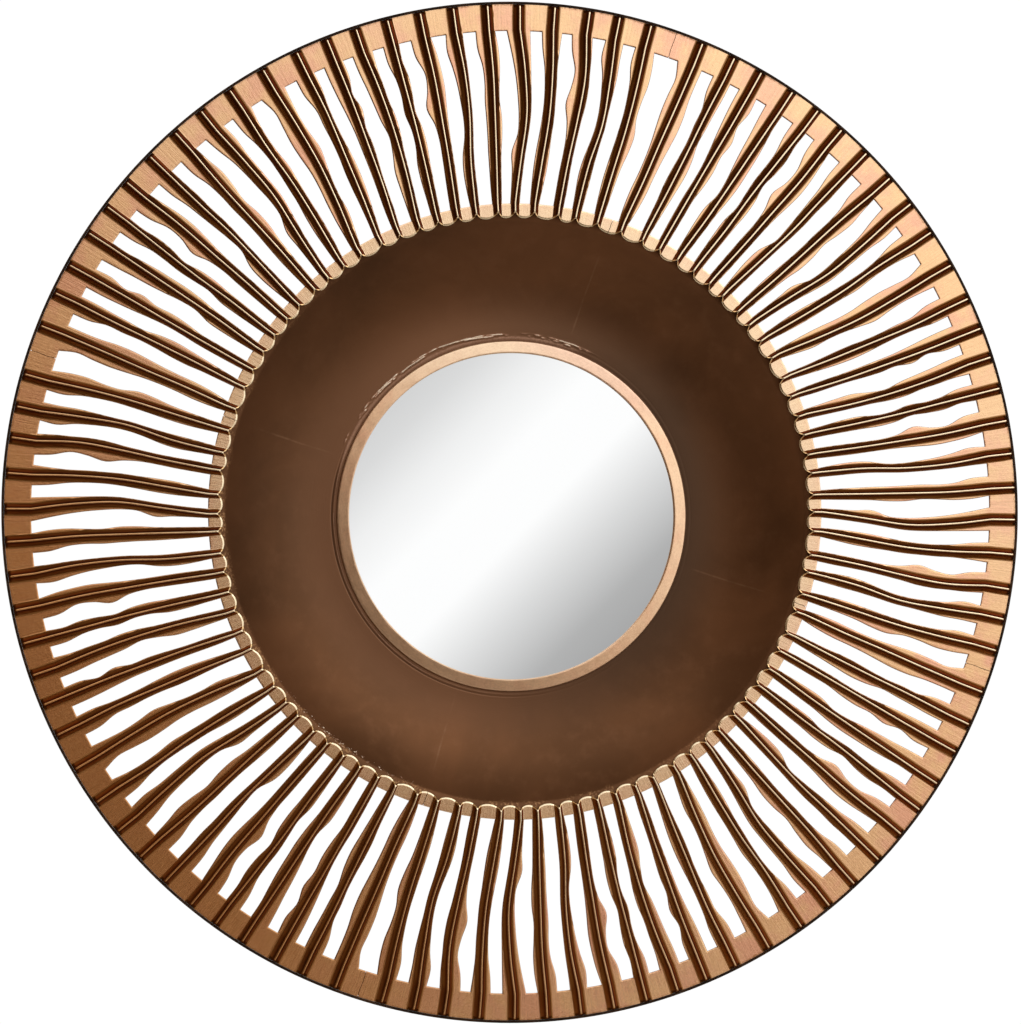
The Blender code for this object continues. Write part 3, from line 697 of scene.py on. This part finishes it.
def build_dish():
    """The spun bowl, its seat and flange, with the raised lines round the bezel."""
    mouth = MOUTH_RADIUS - DISH_SETBACK
    inner_end = TORN_RADIUS + GLASS_DROP + 0.002
    fine_steps = 60
    radii = []
    for step in range(fine_steps + 1):
        radii.append(between(SEAT_INNER_RADIUS, inner_end, step / fine_steps))
    bowl_steps = 44
    for step in range(1, bowl_steps + 1):
        radii.append(between(inner_end, mouth, step / bowl_steps))
    front = [(radius, bowl_depth(radius)) for radius in radii]
    front.append((FLANGE_RADIUS, floor_depth(FLANGE_RADIUS) - PLATE_THICKNESS - FIT_GAP))
    back = [(radius, depth - DISH_WALL) for radius, depth in front[::-4]]
    back.append((front[0][0], front[0][1] - DISH_WALL))
    profile = list(reversed(front)) + list(reversed(back))
    fronts = len(front)

    def shape(index, radius, depth, degrees):
        if index >= fronts:
            return radius, depth, 0.0
        clock = math.radians(degrees)
        out = math.hypot(radius * math.sin(clock) - RING_SHIFT,
                         radius * math.cos(clock) + RING_DROP)
        bead = math.exp(-((out - BEAD_RADIUS) / BEAD_WIDTH) ** 2)
        sunk = grooved(degrees)
        bead *= (0.75 + 0.5 * ragged(degrees, 9.0, 1.0)) * (0.15 + 0.85 * sunk)
        groove = math.exp(-((out - BEAD_RADIUS - BEAD_GROOVE) / GROOVE_WIDTH) ** 2)
        torn, beside = torn_lines(out, degrees)
        groove *= 0.12 + 0.88 * sunk
        groove *= 1.0 - 0.8 * torn_amount(degrees)
        halo = math.exp(-((out - BEAD_RADIUS) / TORN_HALO) ** 2) * torn_amount(degrees)
        # The groove and the strip beside a torn line get negative values, which paint a shadow
        # there.
        wear_and_shade = 0.25 * bead + 1.3 * torn + 0.28 * halo * (1.0 - beside) - 0.65 * groove
        wear_and_shade -= 0.5 * beside
        rise = BEAD_HEIGHT * (bead - 0.6 * groove) + TORN_HEIGHT * torn
        return radius, depth + rise, min(wear_and_shade, 1.0)

    return turned("bowl", profile, 480, shape=shape, sharp_degrees=60.0, extra=add_crumbs)


def build_bezel():
    """The low ring over the glass's edge: flat face that falls outwards, rounded outer side."""
    inner = BEZEL_RADIUS - BEZEL_WIDTH + BEZEL_TRIM
    outer = BEZEL_RADIUS - BEZEL_TRIM
    top = BEZEL_FOOT + BEZEL_CROWN
    face_end = outer - BEZEL_ROUND - inner
    shoulder = BEZEL_FOOT + 0.2 * BEZEL_CROWN
    fall = top - BEZEL_TILT * face_end - shoulder
    profile = [(outer, BEZEL_FOOT)]
    for step in range(7):
        turn = math.radians(90.0 * step / 6.0)
        profile.append((inner + face_end + BEZEL_ROUND * math.cos(turn),
                        shoulder + fall * math.sin(turn)))
    for share in (0.8, 0.6, 0.4, 0.25):
        profile.append((inner + face_end * share, top - BEZEL_TILT * face_end * share))
    lip = top - BEZEL_TILT * BEZEL_LIP
    profile += [(inner + BEZEL_LIP, lip), (inner + 0.7 * BEZEL_LIP, lip + 0.00003),
                (inner + 0.0002, lip - 0.00001), (inner, lip - 0.0002), (inner, BEZEL_FOOT)]
    foot, wall = 0, len(profile) - 1

    def shape(index, radius, depth, degrees):
        if index == foot:
            return radius, depth, 0.0
        # Painted shadow: the inner wall is dark at the lower left.
        if index == wall:
            return radius, depth, 1.0 - 0.8 * grooved(degrees)
        dent = 0.00010 * ragged(degrees, 14.0, index * 0.21)
        dent += 0.00006 * ragged(degrees, 60.0, index)
        # Painted shade: the higher parts stay copper, the lower ones are dark.
        wear_and_shade = ease(0.25, 0.55, (depth - BEZEL_FOOT) / BEZEL_CROWN)
        return radius, depth + dent, wear_and_shade

    return turned("glass_ring", profile, 420, shape=shape, shift=RING_SHIFT, drop=RING_DROP,
                  sharp_degrees=50.0)


def build_glass():
    """The mirror glass, with a small ground edge."""
    soft = 0.0005
    profile = (
        (GLASS_RADIUS - soft, GLASS_FRONT),
        (GLASS_RADIUS, GLASS_FRONT - soft),
        (GLASS_RADIUS, GLASS_BACK + soft),
        (GLASS_RADIUS - soft, GLASS_BACK),
    )
    return turned("glass_disc", profile, 300, closed=False, shift=RING_SHIFT, drop=RING_DROP,
                  sharp_degrees=20.0)


def carve(piece, cutter):
    """Take a cutter's shape out of a piece, and drop the cutter."""
    modifier = piece.modifiers.new("cut", "BOOLEAN")
    modifier.operation = "DIFFERENCE"
    modifier.object = cutter
    evaluated = piece.evaluated_get(bpy.context.evaluated_depsgraph_get())
    data = bpy.data.meshes.new_from_object(evaluated)
    piece.modifiers.clear()
    piece.data = data
    data.name = piece.name
    bpy.data.objects.remove(cutter, do_unlink=True)


def build_board():
    """The back board: edges broken, with the hanger's pocket let into its back."""
    soft = 0.0008
    profile = (
        (BOARD_RADIUS - soft, BOARD_THICKNESS),
        (BOARD_RADIUS, BOARD_THICKNESS - soft),
        (BOARD_RADIUS, soft),
        (BOARD_RADIUS - soft, 0.0),
    )
    board = turned("board", profile, 240, closed=False, sharp_degrees=20.0)
    low, high = HANGER_BOX
    gap = 0.0005
    mesh = bmesh.new()
    size = Vector((high.x - low.x + 2.0 * gap, 2.0 * (high.y - low.y + FIT_GAP),
                   high.z - low.z + 2.0 * gap))
    middle = Vector(((low.x + high.x) / 2.0, 0.0, (low.z + high.z) / 2.0))
    bmesh.ops.create_cube(mesh, size=1.0, matrix=Matrix.Translation(middle) @ Matrix.Diagonal(
        (*size, 1.0)))
    cutter = finish_mesh("pocket_cutter", mesh, 30.0)
    carve(board, cutter)
    return board


class Wire:
    """A shader value: using it in an expression adds the Math nodes for it."""

    def __init__(self, graph, socket):
        self.graph = graph
        self.socket = socket

    def math(self, operation, *others):
        return self.graph.node("ShaderNodeMath", {"operation": operation}, (self, *others))

    def __add__(self, other):
        return self.math("ADD", other)

    def __radd__(self, other):
        return self.math("ADD", other)

    def __sub__(self, other):
        return self.math("SUBTRACT", other)

    def __rsub__(self, other):
        return self.graph.node("ShaderNodeMath", {"operation": "SUBTRACT"}, (other, self))

    def __mul__(self, other):
        return self.math("MULTIPLY", other)

    def __rmul__(self, other):
        return self.math("MULTIPLY", other)

    def __truediv__(self, other):
        return self.math("DIVIDE", other)

    def __pow__(self, other):
        return self.math("POWER", other)

    def clamp(self, low=0.0, high=1.0):
        return self.math("MAXIMUM", low).math("MINIMUM", high)

    def ease(self, start, end):
        """From 0 at start to 1 at end, with soft ends."""
        settings = {"interpolation_type": "SMOOTHSTEP", "clamp": True}
        return self.graph.node("ShaderNodeMapRange", settings,
                               {"Value": self, "From Min": start, "From Max": end})


class Graph:
    """The node tree of a material or of the world."""

    def __init__(self, tree):
        self.tree = tree
        tree.nodes.clear()

    def node(self, kind, settings=None, inputs=(), output=0):
        """Add a node: its settings first, then the values or links of its sockets."""
        made = self.tree.nodes.new(kind)
        for name, value in (settings or {}).items():
            if name == "stops":
                self.set_stops(made.color_ramp, value)
            else:
                setattr(made, name, value)
        pairs = inputs.items() if isinstance(inputs, dict) else enumerate(inputs)
        for key, value in pairs:
            if isinstance(value, Wire):
                self.tree.links.new(value.socket, made.inputs[key])
            else:
                made.inputs[key].default_value = value
        if not made.outputs:
            return None
        return Wire(self, made.outputs[output])

    def set_stops(self, ramp, stops):
        while len(ramp.elements) < len(stops):
            ramp.elements.new(0.5)
        for element, (place, colour) in zip(ramp.elements, stops):
            element.position = place
            element.color = (*colour, 1.0)

    def mix(self, share, first, second, blend="MIX"):
        """Mix two colours."""
        values = [value if isinstance(value, Wire) else (*value, 1.0) for value in (first, second)]
        return self.node("ShaderNodeMix", {"data_type": "RGBA", "blend_type": blend},
                         {0: share, 6: values[0], 7: values[1]}, output=2)

    def noise(self, vector, scale, detail=3.0, roughness=0.5, distortion=0.0):
        return self.node("ShaderNodeTexNoise", {}, {
            "Vector": vector, "Scale": scale, "Detail": detail, "Roughness": roughness,
            "Distortion": distortion})

    def attribute(self, name):
        return self.node("ShaderNodeAttribute", {"attribute_name": name}, output="Fac")

    def vector(self, x, y, z):
        return self.node("ShaderNodeCombineXYZ", {}, (x, y, z))

    def split(self, vector):
        parts = self.node("ShaderNodeSeparateXYZ", {}, (vector,))
        made = parts.socket.node
        return [Wire(self, made.outputs[axis]) for axis in ("X", "Y", "Z")]

    def place(self):
        return self.node("ShaderNodeTexCoord", output="Object")

    def polar(self):
        """Radius, angle and depth of the shaded point on the mirror."""
        x, y, z = self.split(self.place())
        radius = (x * x + z * z).math("SQRT")
        angle = x.math("ARCTAN2", z)
        return radius, angle, y

    def bump(self, height, strength, distance):
        return self.node("ShaderNodeBump", {}, {
            "Strength": strength, "Distance": distance, "Height": height}, output="Normal")

    def shader(self, inputs):
        return self.node("ShaderNodeBsdfPrincipled", {}, inputs)

    def surface(self, shader):
        self.node("ShaderNodeOutputMaterial", {}, {"Surface": shader})


def new_material(name):
    """A material with an empty node tree, and its graph."""
    material = bpy.data.materials.new(name)
    material.use_nodes = True
    return material, Graph(material.node_tree)


def copper_leaf():
    """Bright copper leaf on the lands and crests, dark on the flanks and edges.

    The crests are partly rubbed and partly a painted highlight; the dark flanks and
    edges are partly patina and partly painted shade.
    """
    material, graph = new_material("copper_leaf_fine")
    place = graph.place()
    radius, angle, depth = graph.polar()
    patina = graph.attribute("patina")
    wear = graph.attribute("wear")
    blotch = graph.noise(place, 24.0, detail=4.0, roughness=0.6)
    broad = graph.noise(place, 7.0, detail=2.0)
    grain = graph.noise(graph.vector(angle * 460.0, radius * 90.0, depth * 60.0), 1.0, detail=3.0,
                        roughness=0.7)
    speck = graph.noise(place, 380.0, detail=3.0, roughness=0.75)
    leaf = graph.mix(blotch.ease(0.42, 0.62), (0.95, 0.625, 0.355), (0.91, 0.51, 0.35))
    leaf = graph.mix(broad.ease(0.35, 0.7) * 0.35, leaf, (0.95, 0.68, 0.44))
    # Painted highlight: the lands are paler near the dish's mouth.
    pale = (1.0 - radius.ease(0.268, 0.292)) * 0.8
    leaf = graph.mix(pale, leaf, (0.97, 0.76, 0.53))
    x, _, z = graph.split(place)
    # Painted shade: the crests take a darker colour towards the lower left, away from the mouth.
    lower_left = (x * -0.6 + z * -0.8).ease(-0.15, 0.38) * radius.ease(0.272, 0.300)
    crest_wear_highlight_and_shade = graph.mix(lower_left, (0.99, 0.84, 0.60), (0.66, 0.42, 0.22))
    leaf = graph.mix(wear, leaf, crest_wear_highlight_and_shade)
    streak = graph.noise(graph.vector(angle * 240.0, radius * 9.0, depth * 120.0), 1.0, detail=4.0,
                         roughness=0.7)
    tone = 0.52 + 0.34 * grain + 0.30 * speck + 0.34 * streak
    leaf = graph.mix(1.0, leaf, graph.vector(tone, tone, tone), blend="MULTIPLY")
    # Painted light: the dark flanks are lighter towards the bottom.
    low = (z * -1.0).ease(-0.30, 0.42)
    brown = graph.mix(low, (0.155, 0.064, 0.015), (0.34, 0.155, 0.050))
    brown = graph.mix(streak.ease(0.35, 0.75), brown, (0.42, 0.20, 0.068))
    deep = (patina + (streak - 0.5) * 0.12).ease(0.80, 0.97)
    darkest = graph.mix(low, (0.095, 0.034, 0.006), (0.150, 0.058, 0.012))
    dark = graph.mix(deep, brown, darkest)
    # Painted shade: the lands are darker towards the lower left, away from the mouth.
    shaded = (x * -0.8 + z * -0.5).ease(0.12, 0.42) * radius.ease(0.275, 0.34)
    leaf = graph.mix(shaded * 0.9, leaf, (0.74, 0.39, 0.165))
    # The mask picks the dark shader where the panel has patina and painted shade; the rim's grime
    # and the torn finish at the mouth change it below.
    mask = (patina + (grain - 0.5) * 0.5 * patina
            + (speck - 0.5) * 0.4 * patina).ease(0.20, 0.62)
    grime = radius.ease(OUTER_RADIUS - 0.0085, OUTER_RADIUS - 0.0026) * (0.5 * blotch + 0.5 * speck)
    mask = mask.math("MAXIMUM", grime.ease(0.42, 0.60) * 0.75)
    torn = 1.0 - radius.ease(MOUTH_RADIUS + 0.0012, MOUTH_RADIUS + 0.0030)
    torn = torn * (x * -0.70 + z * -0.71).ease(0.232, 0.252) * speck.ease(0.47, 0.57)
    mask = mask * (1.0 - torn * 0.9)
    bright = graph.shader({
        "Base Color": leaf,
        "Metallic": 1.0,
        "Roughness": (0.15 + 0.10 * grain + 0.06 * speck).clamp(0.12, 0.6),
        "Normal": graph.bump(0.5 * grain + 0.5 * speck + 0.6 * streak, 0.22, 0.0006),
    })
    dark_patina_and_shade = graph.shader({
        "Base Color": dark,
        "Metallic": 0.9,
        "Roughness": 0.40,
        "Specular Tint": (0.30, 0.13, 0.05, 1.0),
        "Normal": graph.bump(streak, 0.25, 0.0008),
    })
    graph.surface(graph.node("ShaderNodeMixShader", {}, (mask, bright, dark_patina_and_shade)))
    return material


def dish_brown():
    """Dark brown bronze with a cloudy patina, and copper where a raised line is worn.

    Painted shade darkens the upper left, the grooves and the right of the ring round
    the bezel, whose left side is painted lighter.
    """
    material, graph = new_material("dish_brown_fine")
    place = graph.place()
    radius, angle, _ = graph.polar()
    wear = graph.attribute("wear")
    cloud = graph.noise(place, 9.0, detail=5.0, roughness=0.55, distortion=0.4)
    mottle = graph.noise(place, 60.0, detail=3.0, roughness=0.6)
    spun = graph.noise(graph.vector(radius * 900.0, angle * 3.0, 0.0), 1.0, detail=2.0)
    speck = graph.noise(place, 500.0, detail=2.0, roughness=0.7)
    body = graph.mix(cloud.ease(0.3, 0.72), (0.122, 0.054, 0.023), (0.195, 0.085, 0.037))
    body = graph.mix(mottle.ease(0.45, 0.8) * 0.3, body, (0.225, 0.105, 0.052))
    x, _, z = graph.split(place)
    # Painted shade: the dish is darker towards the upper left.
    upper_left = (x * -0.9 + z * 0.45).ease(0.05, 0.22)
    body = graph.mix(upper_left * 0.36, body, (0.020, 0.009, 0.004))
    # Painted light and shade round the bezel: lighter at the left, a painted shadow at the right.
    near = 1.0 - radius.ease(0.160, 0.222)
    inner = graph.mix(x.ease(-0.08, 0.16), (0.235, 0.118, 0.064), (0.080, 0.047, 0.029))
    body = graph.mix(near * 0.85, body, inner)
    for degrees in PANEL_STARTS:
        turn = math.radians(degrees)
        across = (x * math.cos(turn) - z * math.sin(turn)) + 0.004 * (cloud - 0.5)
        along = x * math.sin(turn) + z * math.cos(turn)
        seam = 1.0 - across.math("ABSOLUTE").ease(0.0002, 0.0013)
        seam = seam * along.ease(0.168, 0.180) * (1.0 - along.ease(0.225, 0.250))
        body = graph.mix(seam * mottle.ease(0.3, 0.7) * 0.28, body, (0.32, 0.18, 0.105))
    wear_and_shade = wear * (0.5 + speck)
    colour = graph.mix(wear_and_shade.ease(0.08, 0.45), body, (0.46, 0.27, 0.185))
    wear_and_shade = wear_and_shade.ease(0.45, 0.80)
    colour = graph.mix(wear_and_shade, colour, (0.98, 0.86, 0.72))
    # Painted shadow: the groove and the strip beside the torn lines are near black.
    sunk = (wear * -1.0).ease(0.1, 0.8)
    colour = graph.mix(sunk * 0.75, colour, (0.020, 0.008, 0.004))
    crumb = radius.ease(MOUTH_RADIUS - 0.0050, MOUTH_RADIUS - 0.0005) * mottle.ease(0.4, 0.65)
    facing = graph.split(graph.node("ShaderNodeNewGeometry", output="Normal"))[1]
    crumb = crumb * (x * -0.7 + z * -0.7).ease(-0.12, 0.20) * (facing * -1.0).ease(0.0, 0.2)
    colour = graph.mix(crumb * speck.ease(0.50, 0.62) * 0.7, colour, (0.50, 0.28, 0.13))
    shader = graph.shader({
        "Base Color": colour,
        "Metallic": 0.70 + 0.25 * wear_and_shade,
        "Roughness": (0.31 + 0.12 * cloud + 0.06 * spun + 0.10 * wear_and_shade).clamp(0.2, 0.8),
        "Specular IOR Level": 0.25,
        "Normal": graph.bump(0.5 * spun + 0.5 * mottle, 0.12, 0.0006),
    })
    graph.surface(shader)
    return material


def bezel_copper():
    """Aged copper on the ring with a fine grain.

    Painted shade darkens its low parts, its inner wall at the lower left, its lower
    left and its upper right; a painted highlight makes its top paler.
    """
    material, graph = new_material("bezel_copper_fine")
    place = graph.place()
    radius, angle, depth = graph.polar()
    wear = graph.attribute("wear")
    blotch = graph.noise(place, 34.0, detail=4.0, roughness=0.6)
    grain = graph.noise(graph.vector(angle * 60.0, radius * 900.0, depth * 300.0), 1.0, detail=3.0)
    speck = graph.noise(place, 600.0, detail=2.0, roughness=0.7)
    leaf = graph.mix(blotch.ease(0.4, 0.7), (0.96, 0.69, 0.47), (0.93, 0.60, 0.41))
    x, _, z = graph.split(place)
    # Painted shade: darker towards the lower left.
    lower_left = (x * -0.7 + z * -0.7).ease(0.0, 0.14)
    leaf = graph.mix(lower_left * 0.6, leaf, (0.60, 0.43, 0.29))
    # Painted highlight: paler at the top.
    leaf = graph.mix(z.ease(0.09, 0.15), leaf, (0.98, 0.75, 0.54))
    # Painted shade: darker and pinker at the upper right.
    upper_right = (x * 0.5 + z * 0.87).ease(0.122, 0.155)
    leaf = graph.mix(upper_right * 0.75, leaf, (0.80, 0.54, 0.42))
    tone = 0.68 + 0.36 * grain + 0.28 * speck
    leaf = graph.mix(1.0, leaf, graph.vector(tone, tone, tone), blend="MULTIPLY")
    # Painted shade: the ring is dark where it is low, and on its inner wall at the lower left.
    hollow_shade = (1.0 - wear + (blotch - 0.5) * 0.5).clamp().ease(0.35, 1.0)
    colour = graph.mix(hollow_shade * 0.85, leaf, (0.10, 0.050, 0.025))
    shader = graph.shader({
        "Base Color": colour,
        "Metallic": 1.0,
        "Roughness": (0.26 + 0.12 * grain + 0.15 * hollow_shade).clamp(0.15, 0.7),
        "Normal": graph.bump(0.5 * grain + 0.5 * speck, 0.15, 0.0004),
    })
    graph.surface(shader)
    return material


def dark_bronze():
    """The hoop's dark bronze."""
    material, graph = new_material("dark_bronze_fine")
    place = graph.place()
    cloud = graph.noise(place, 40.0, detail=4.0, roughness=0.6)
    speck = graph.noise(place, 400.0, detail=2.0)
    colour = graph.mix(cloud.ease(0.35, 0.7), (0.020, 0.010, 0.005), (0.060, 0.030, 0.015))
    shader = graph.shader({
        "Base Color": colour,
        "Metallic": 0.6,
        "Roughness": (0.40 + 0.2 * speck).clamp(0.2, 0.8),
        "Specular IOR Level": 0.3,
        "Normal": graph.bump(speck, 0.1, 0.0004),
    })
    graph.surface(shader)
    return material


def silvered_glass():
    """Mirror glass: nearly perfect, with the faintest unevenness."""
    material, graph = new_material("silvered_glass_fine")
    haze = graph.noise(graph.place(), 6.0, detail=2.0)
    shader = graph.shader({
        "Base Color": (0.985, 0.99, 0.99, 1.0),
        "Metallic": 1.0,
        "Roughness": 0.012 + 0.006 * haze,
    })
    graph.surface(shader)
    return material


def board_brown():
    """Plain brown fibreboard."""
    material, graph = new_material("board_brown_fine")
    place = graph.place()
    fibre = graph.noise(place, 160.0, detail=5.0, roughness=0.7)
    cloud = graph.noise(place, 12.0, detail=3.0)
    colour = graph.mix(fibre.ease(0.3, 0.75), (0.16, 0.095, 0.052), (0.30, 0.19, 0.11))
    colour = graph.mix(cloud.ease(0.3, 0.8) * 0.4, colour, (0.20, 0.12, 0.065))
    shader = graph.shader({
        "Base Color": colour,
        "Roughness": (0.74 + 0.2 * fibre).clamp(0.3, 1.0),
        "Normal": graph.bump(fibre, 0.3, 0.0006),
    })
    graph.surface(shader)
    return material


def zinc_steel():
    """Zinc-plated steel of the hanger plate."""
    material, graph = new_material("zinc_steel_fine")
    place = graph.place()
    spangle = graph.node("ShaderNodeTexVoronoi", {}, {"Vector": place, "Scale": 260.0}, "Color")
    speck = graph.noise(place, 700.0, detail=3.0)
    tone = graph.node("ShaderNodeRGBToBW", {}, (spangle,))
    colour = graph.mix(tone, (0.50, 0.51, 0.52), (0.68, 0.69, 0.70))
    shader = graph.shader({
        "Base Color": colour,
        "Metallic": 1.0,
        "Roughness": (0.30 + 0.15 * tone + 0.08 * speck).clamp(0.1, 0.7),
        "Normal": graph.bump(speck, 0.05, 0.0003),
    })
    graph.surface(shader)
    return material


def stage_white():
    """The studio floor."""
    material, graph = new_material("stage_white")
    soft = graph.noise(graph.place(), 1.5, detail=2.0)
    colour = graph.mix(soft, (0.80, 0.80, 0.80), (0.84, 0.84, 0.84))
    graph.surface(graph.shader({"Base Color": colour, "Roughness": 0.7}))
    return material


# The studio round the mirror. Directions in front of it are given by their
# slopes: how far to the right and up they go for each metre out from the wall
SIDE_LIGHT = (0.36, 0.27, 0.19)
BACKDROP = (1.02, 1.02, 1.02)
FRONT_STOPS = (
    (0.0, (0.030, 0.012, 0.004)), (0.35, (0.26, 0.150, 0.072)), (0.65, (0.70, 0.55, 0.44)),
    (1.0, (1.16, 1.12, 1.07)))
CARD_CENTRE = (0.104, 0.014)
CARD_HALF = 0.047


def studio_world():
    """A soft studio, bright at the front's upper right, before a plain white backdrop."""
    world = bpy.data.worlds.new("studio")
    bpy.context.scene.world = world
    world.use_nodes = True
    graph = Graph(world.node_tree)
    direction = graph.node("ShaderNodeTexCoord", output="Generated")
    x, y, z = graph.split(direction)
    out = (y * -1.0).math("MAXIMUM", 0.02)
    right = x / out
    up = z / out
    lit = ((0.64 * right + 0.77 * up + 0.26) / 0.52).clamp()
    front = graph.node("ShaderNodeValToRGB", {"stops": FRONT_STOPS}, (lit,))
    across = (right - CARD_CENTRE[0]) / CARD_HALF
    along = (up - CARD_CENTRE[1]) / CARD_HALF
    slant = ((across - along) * 0.36 + 0.5).clamp()
    card = graph.node("ShaderNodeValToRGB", {"stops": (
        (0.0, (0.66, 0.66, 0.66)), (0.07, (0.71, 0.71, 0.71)), (0.20, (0.88, 0.88, 0.88)),
        (0.34, (1.0, 1.0, 1.0)), (0.52, (1.0, 1.0, 1.0)), (0.68, (0.72, 0.72, 0.72)),
        (0.85, (0.45, 0.45, 0.45)), (1.0, (0.37, 0.37, 0.37)))}, (slant,))
    apart = (across * across + along * along).math("SQRT")
    front = graph.mix(1.0 - apart.ease(1.35, 1.9), front, card)
    facing = (y * -1.0).ease(0.25, 0.75)
    colour = graph.mix(facing, SIDE_LIGHT, front)
    behind = y.ease(0.925, 0.945)
    colour = graph.mix(behind, colour, BACKDROP)
    colour = graph.mix(graph.node("ShaderNodeLightPath", output="Is Camera Ray"), colour, BACKDROP)
    background = graph.node("ShaderNodeBackground", {}, {"Color": colour, "Strength": 1.0})
    graph.node("ShaderNodeOutputWorld", {}, {"Surface": background})


def area_light(name, place, size, power, colour):
    """A soft square light that looks at the mirror's centre."""
    data = bpy.data.lights.new(name, "AREA")
    data.shape = "SQUARE"
    data.size = size
    data.energy = power
    data.color = colour
    light = bpy.data.objects.new(name, data)
    light.location = place
    light.rotation_euler = (-Vector(place)).to_track_quat("-Z", "Y").to_euler()
    bpy.context.scene.collection.objects.link(light)


def build_camera():
    """The photograph's camera: a little left of and below the mirror's axis."""
    azimuth = math.radians(CAMERA_AZIMUTH)
    elevation = math.radians(CAMERA_ELEVATION)
    back = Vector((math.sin(azimuth) * math.cos(elevation),
                   -math.cos(azimuth) * math.cos(elevation), math.sin(elevation)))
    data = bpy.data.cameras.new("camera")
    data.sensor_width = SENSOR
    data.lens = CAMERA_FOCAL * SENSOR / IMAGE_HEIGHT
    data.dof.use_dof = False
    camera = bpy.data.objects.new("camera", data)
    camera.location = back * CAMERA_DISTANCE
    camera.rotation_euler = (CAMERA_AIM - camera.location).to_track_quat("-Z", "Y").to_euler()
    bpy.context.scene.collection.objects.link(camera)
    bpy.context.scene.camera = camera


def build_stage():
    """A plain pale floor well below the mirror."""
    mesh = bmesh.new()
    bmesh.ops.create_grid(mesh, x_segments=1, y_segments=1, size=2.6)
    for vertex in mesh.verts:
        vertex.co.z = -1.0
    floor = finish_mesh("stage_floor", mesh, 30.0)
    floor.data.materials.append(stage_white())


def dress(piece, material, slot, *nodes):
    """Give a piece its material and body, and let it stand for its nodes."""
    piece.data.materials.clear()
    piece.data.materials.append(material)
    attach(piece, "root")
    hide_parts(*nodes)


def build_mirror():
    """All the pieces of the mirror."""
    copper = copper_leaf()
    for panel in range(len(PANEL_STARTS)):
        dress(build_panel(panel), copper, "copper_leaf", "sunburst_panel_%d" % (panel + 1))
    dress(build_hoop(), dark_bronze(), "dark_bronze", "rim_hoop")
    dress(build_dish(), dish_brown(), "dish_brown", "dish")
    dress(build_bezel(), bezel_copper(), "bezel_copper", "bezel")
    dress(build_glass(), silvered_glass(), "silvered_glass", "mirror_glass")
    dress(build_board(), board_brown(), "board_brown", "back_board")
    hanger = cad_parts["hanger_plate"]
    hanger.data.materials.clear()
    hanger.data.materials.append(zinc_steel())


def set_colours():
    """Plain display of colours, as a product photograph has them."""
    view = bpy.context.scene.view_settings
    view.view_transform = "Standard"
    view.look = "None"


build_camera()
build_stage()
build_mirror()
studio_world()
area_light("key", (1.9, -3.0, 2.1), 1.6, 10.0, (1.0, 0.96, 0.9))
set_colours()
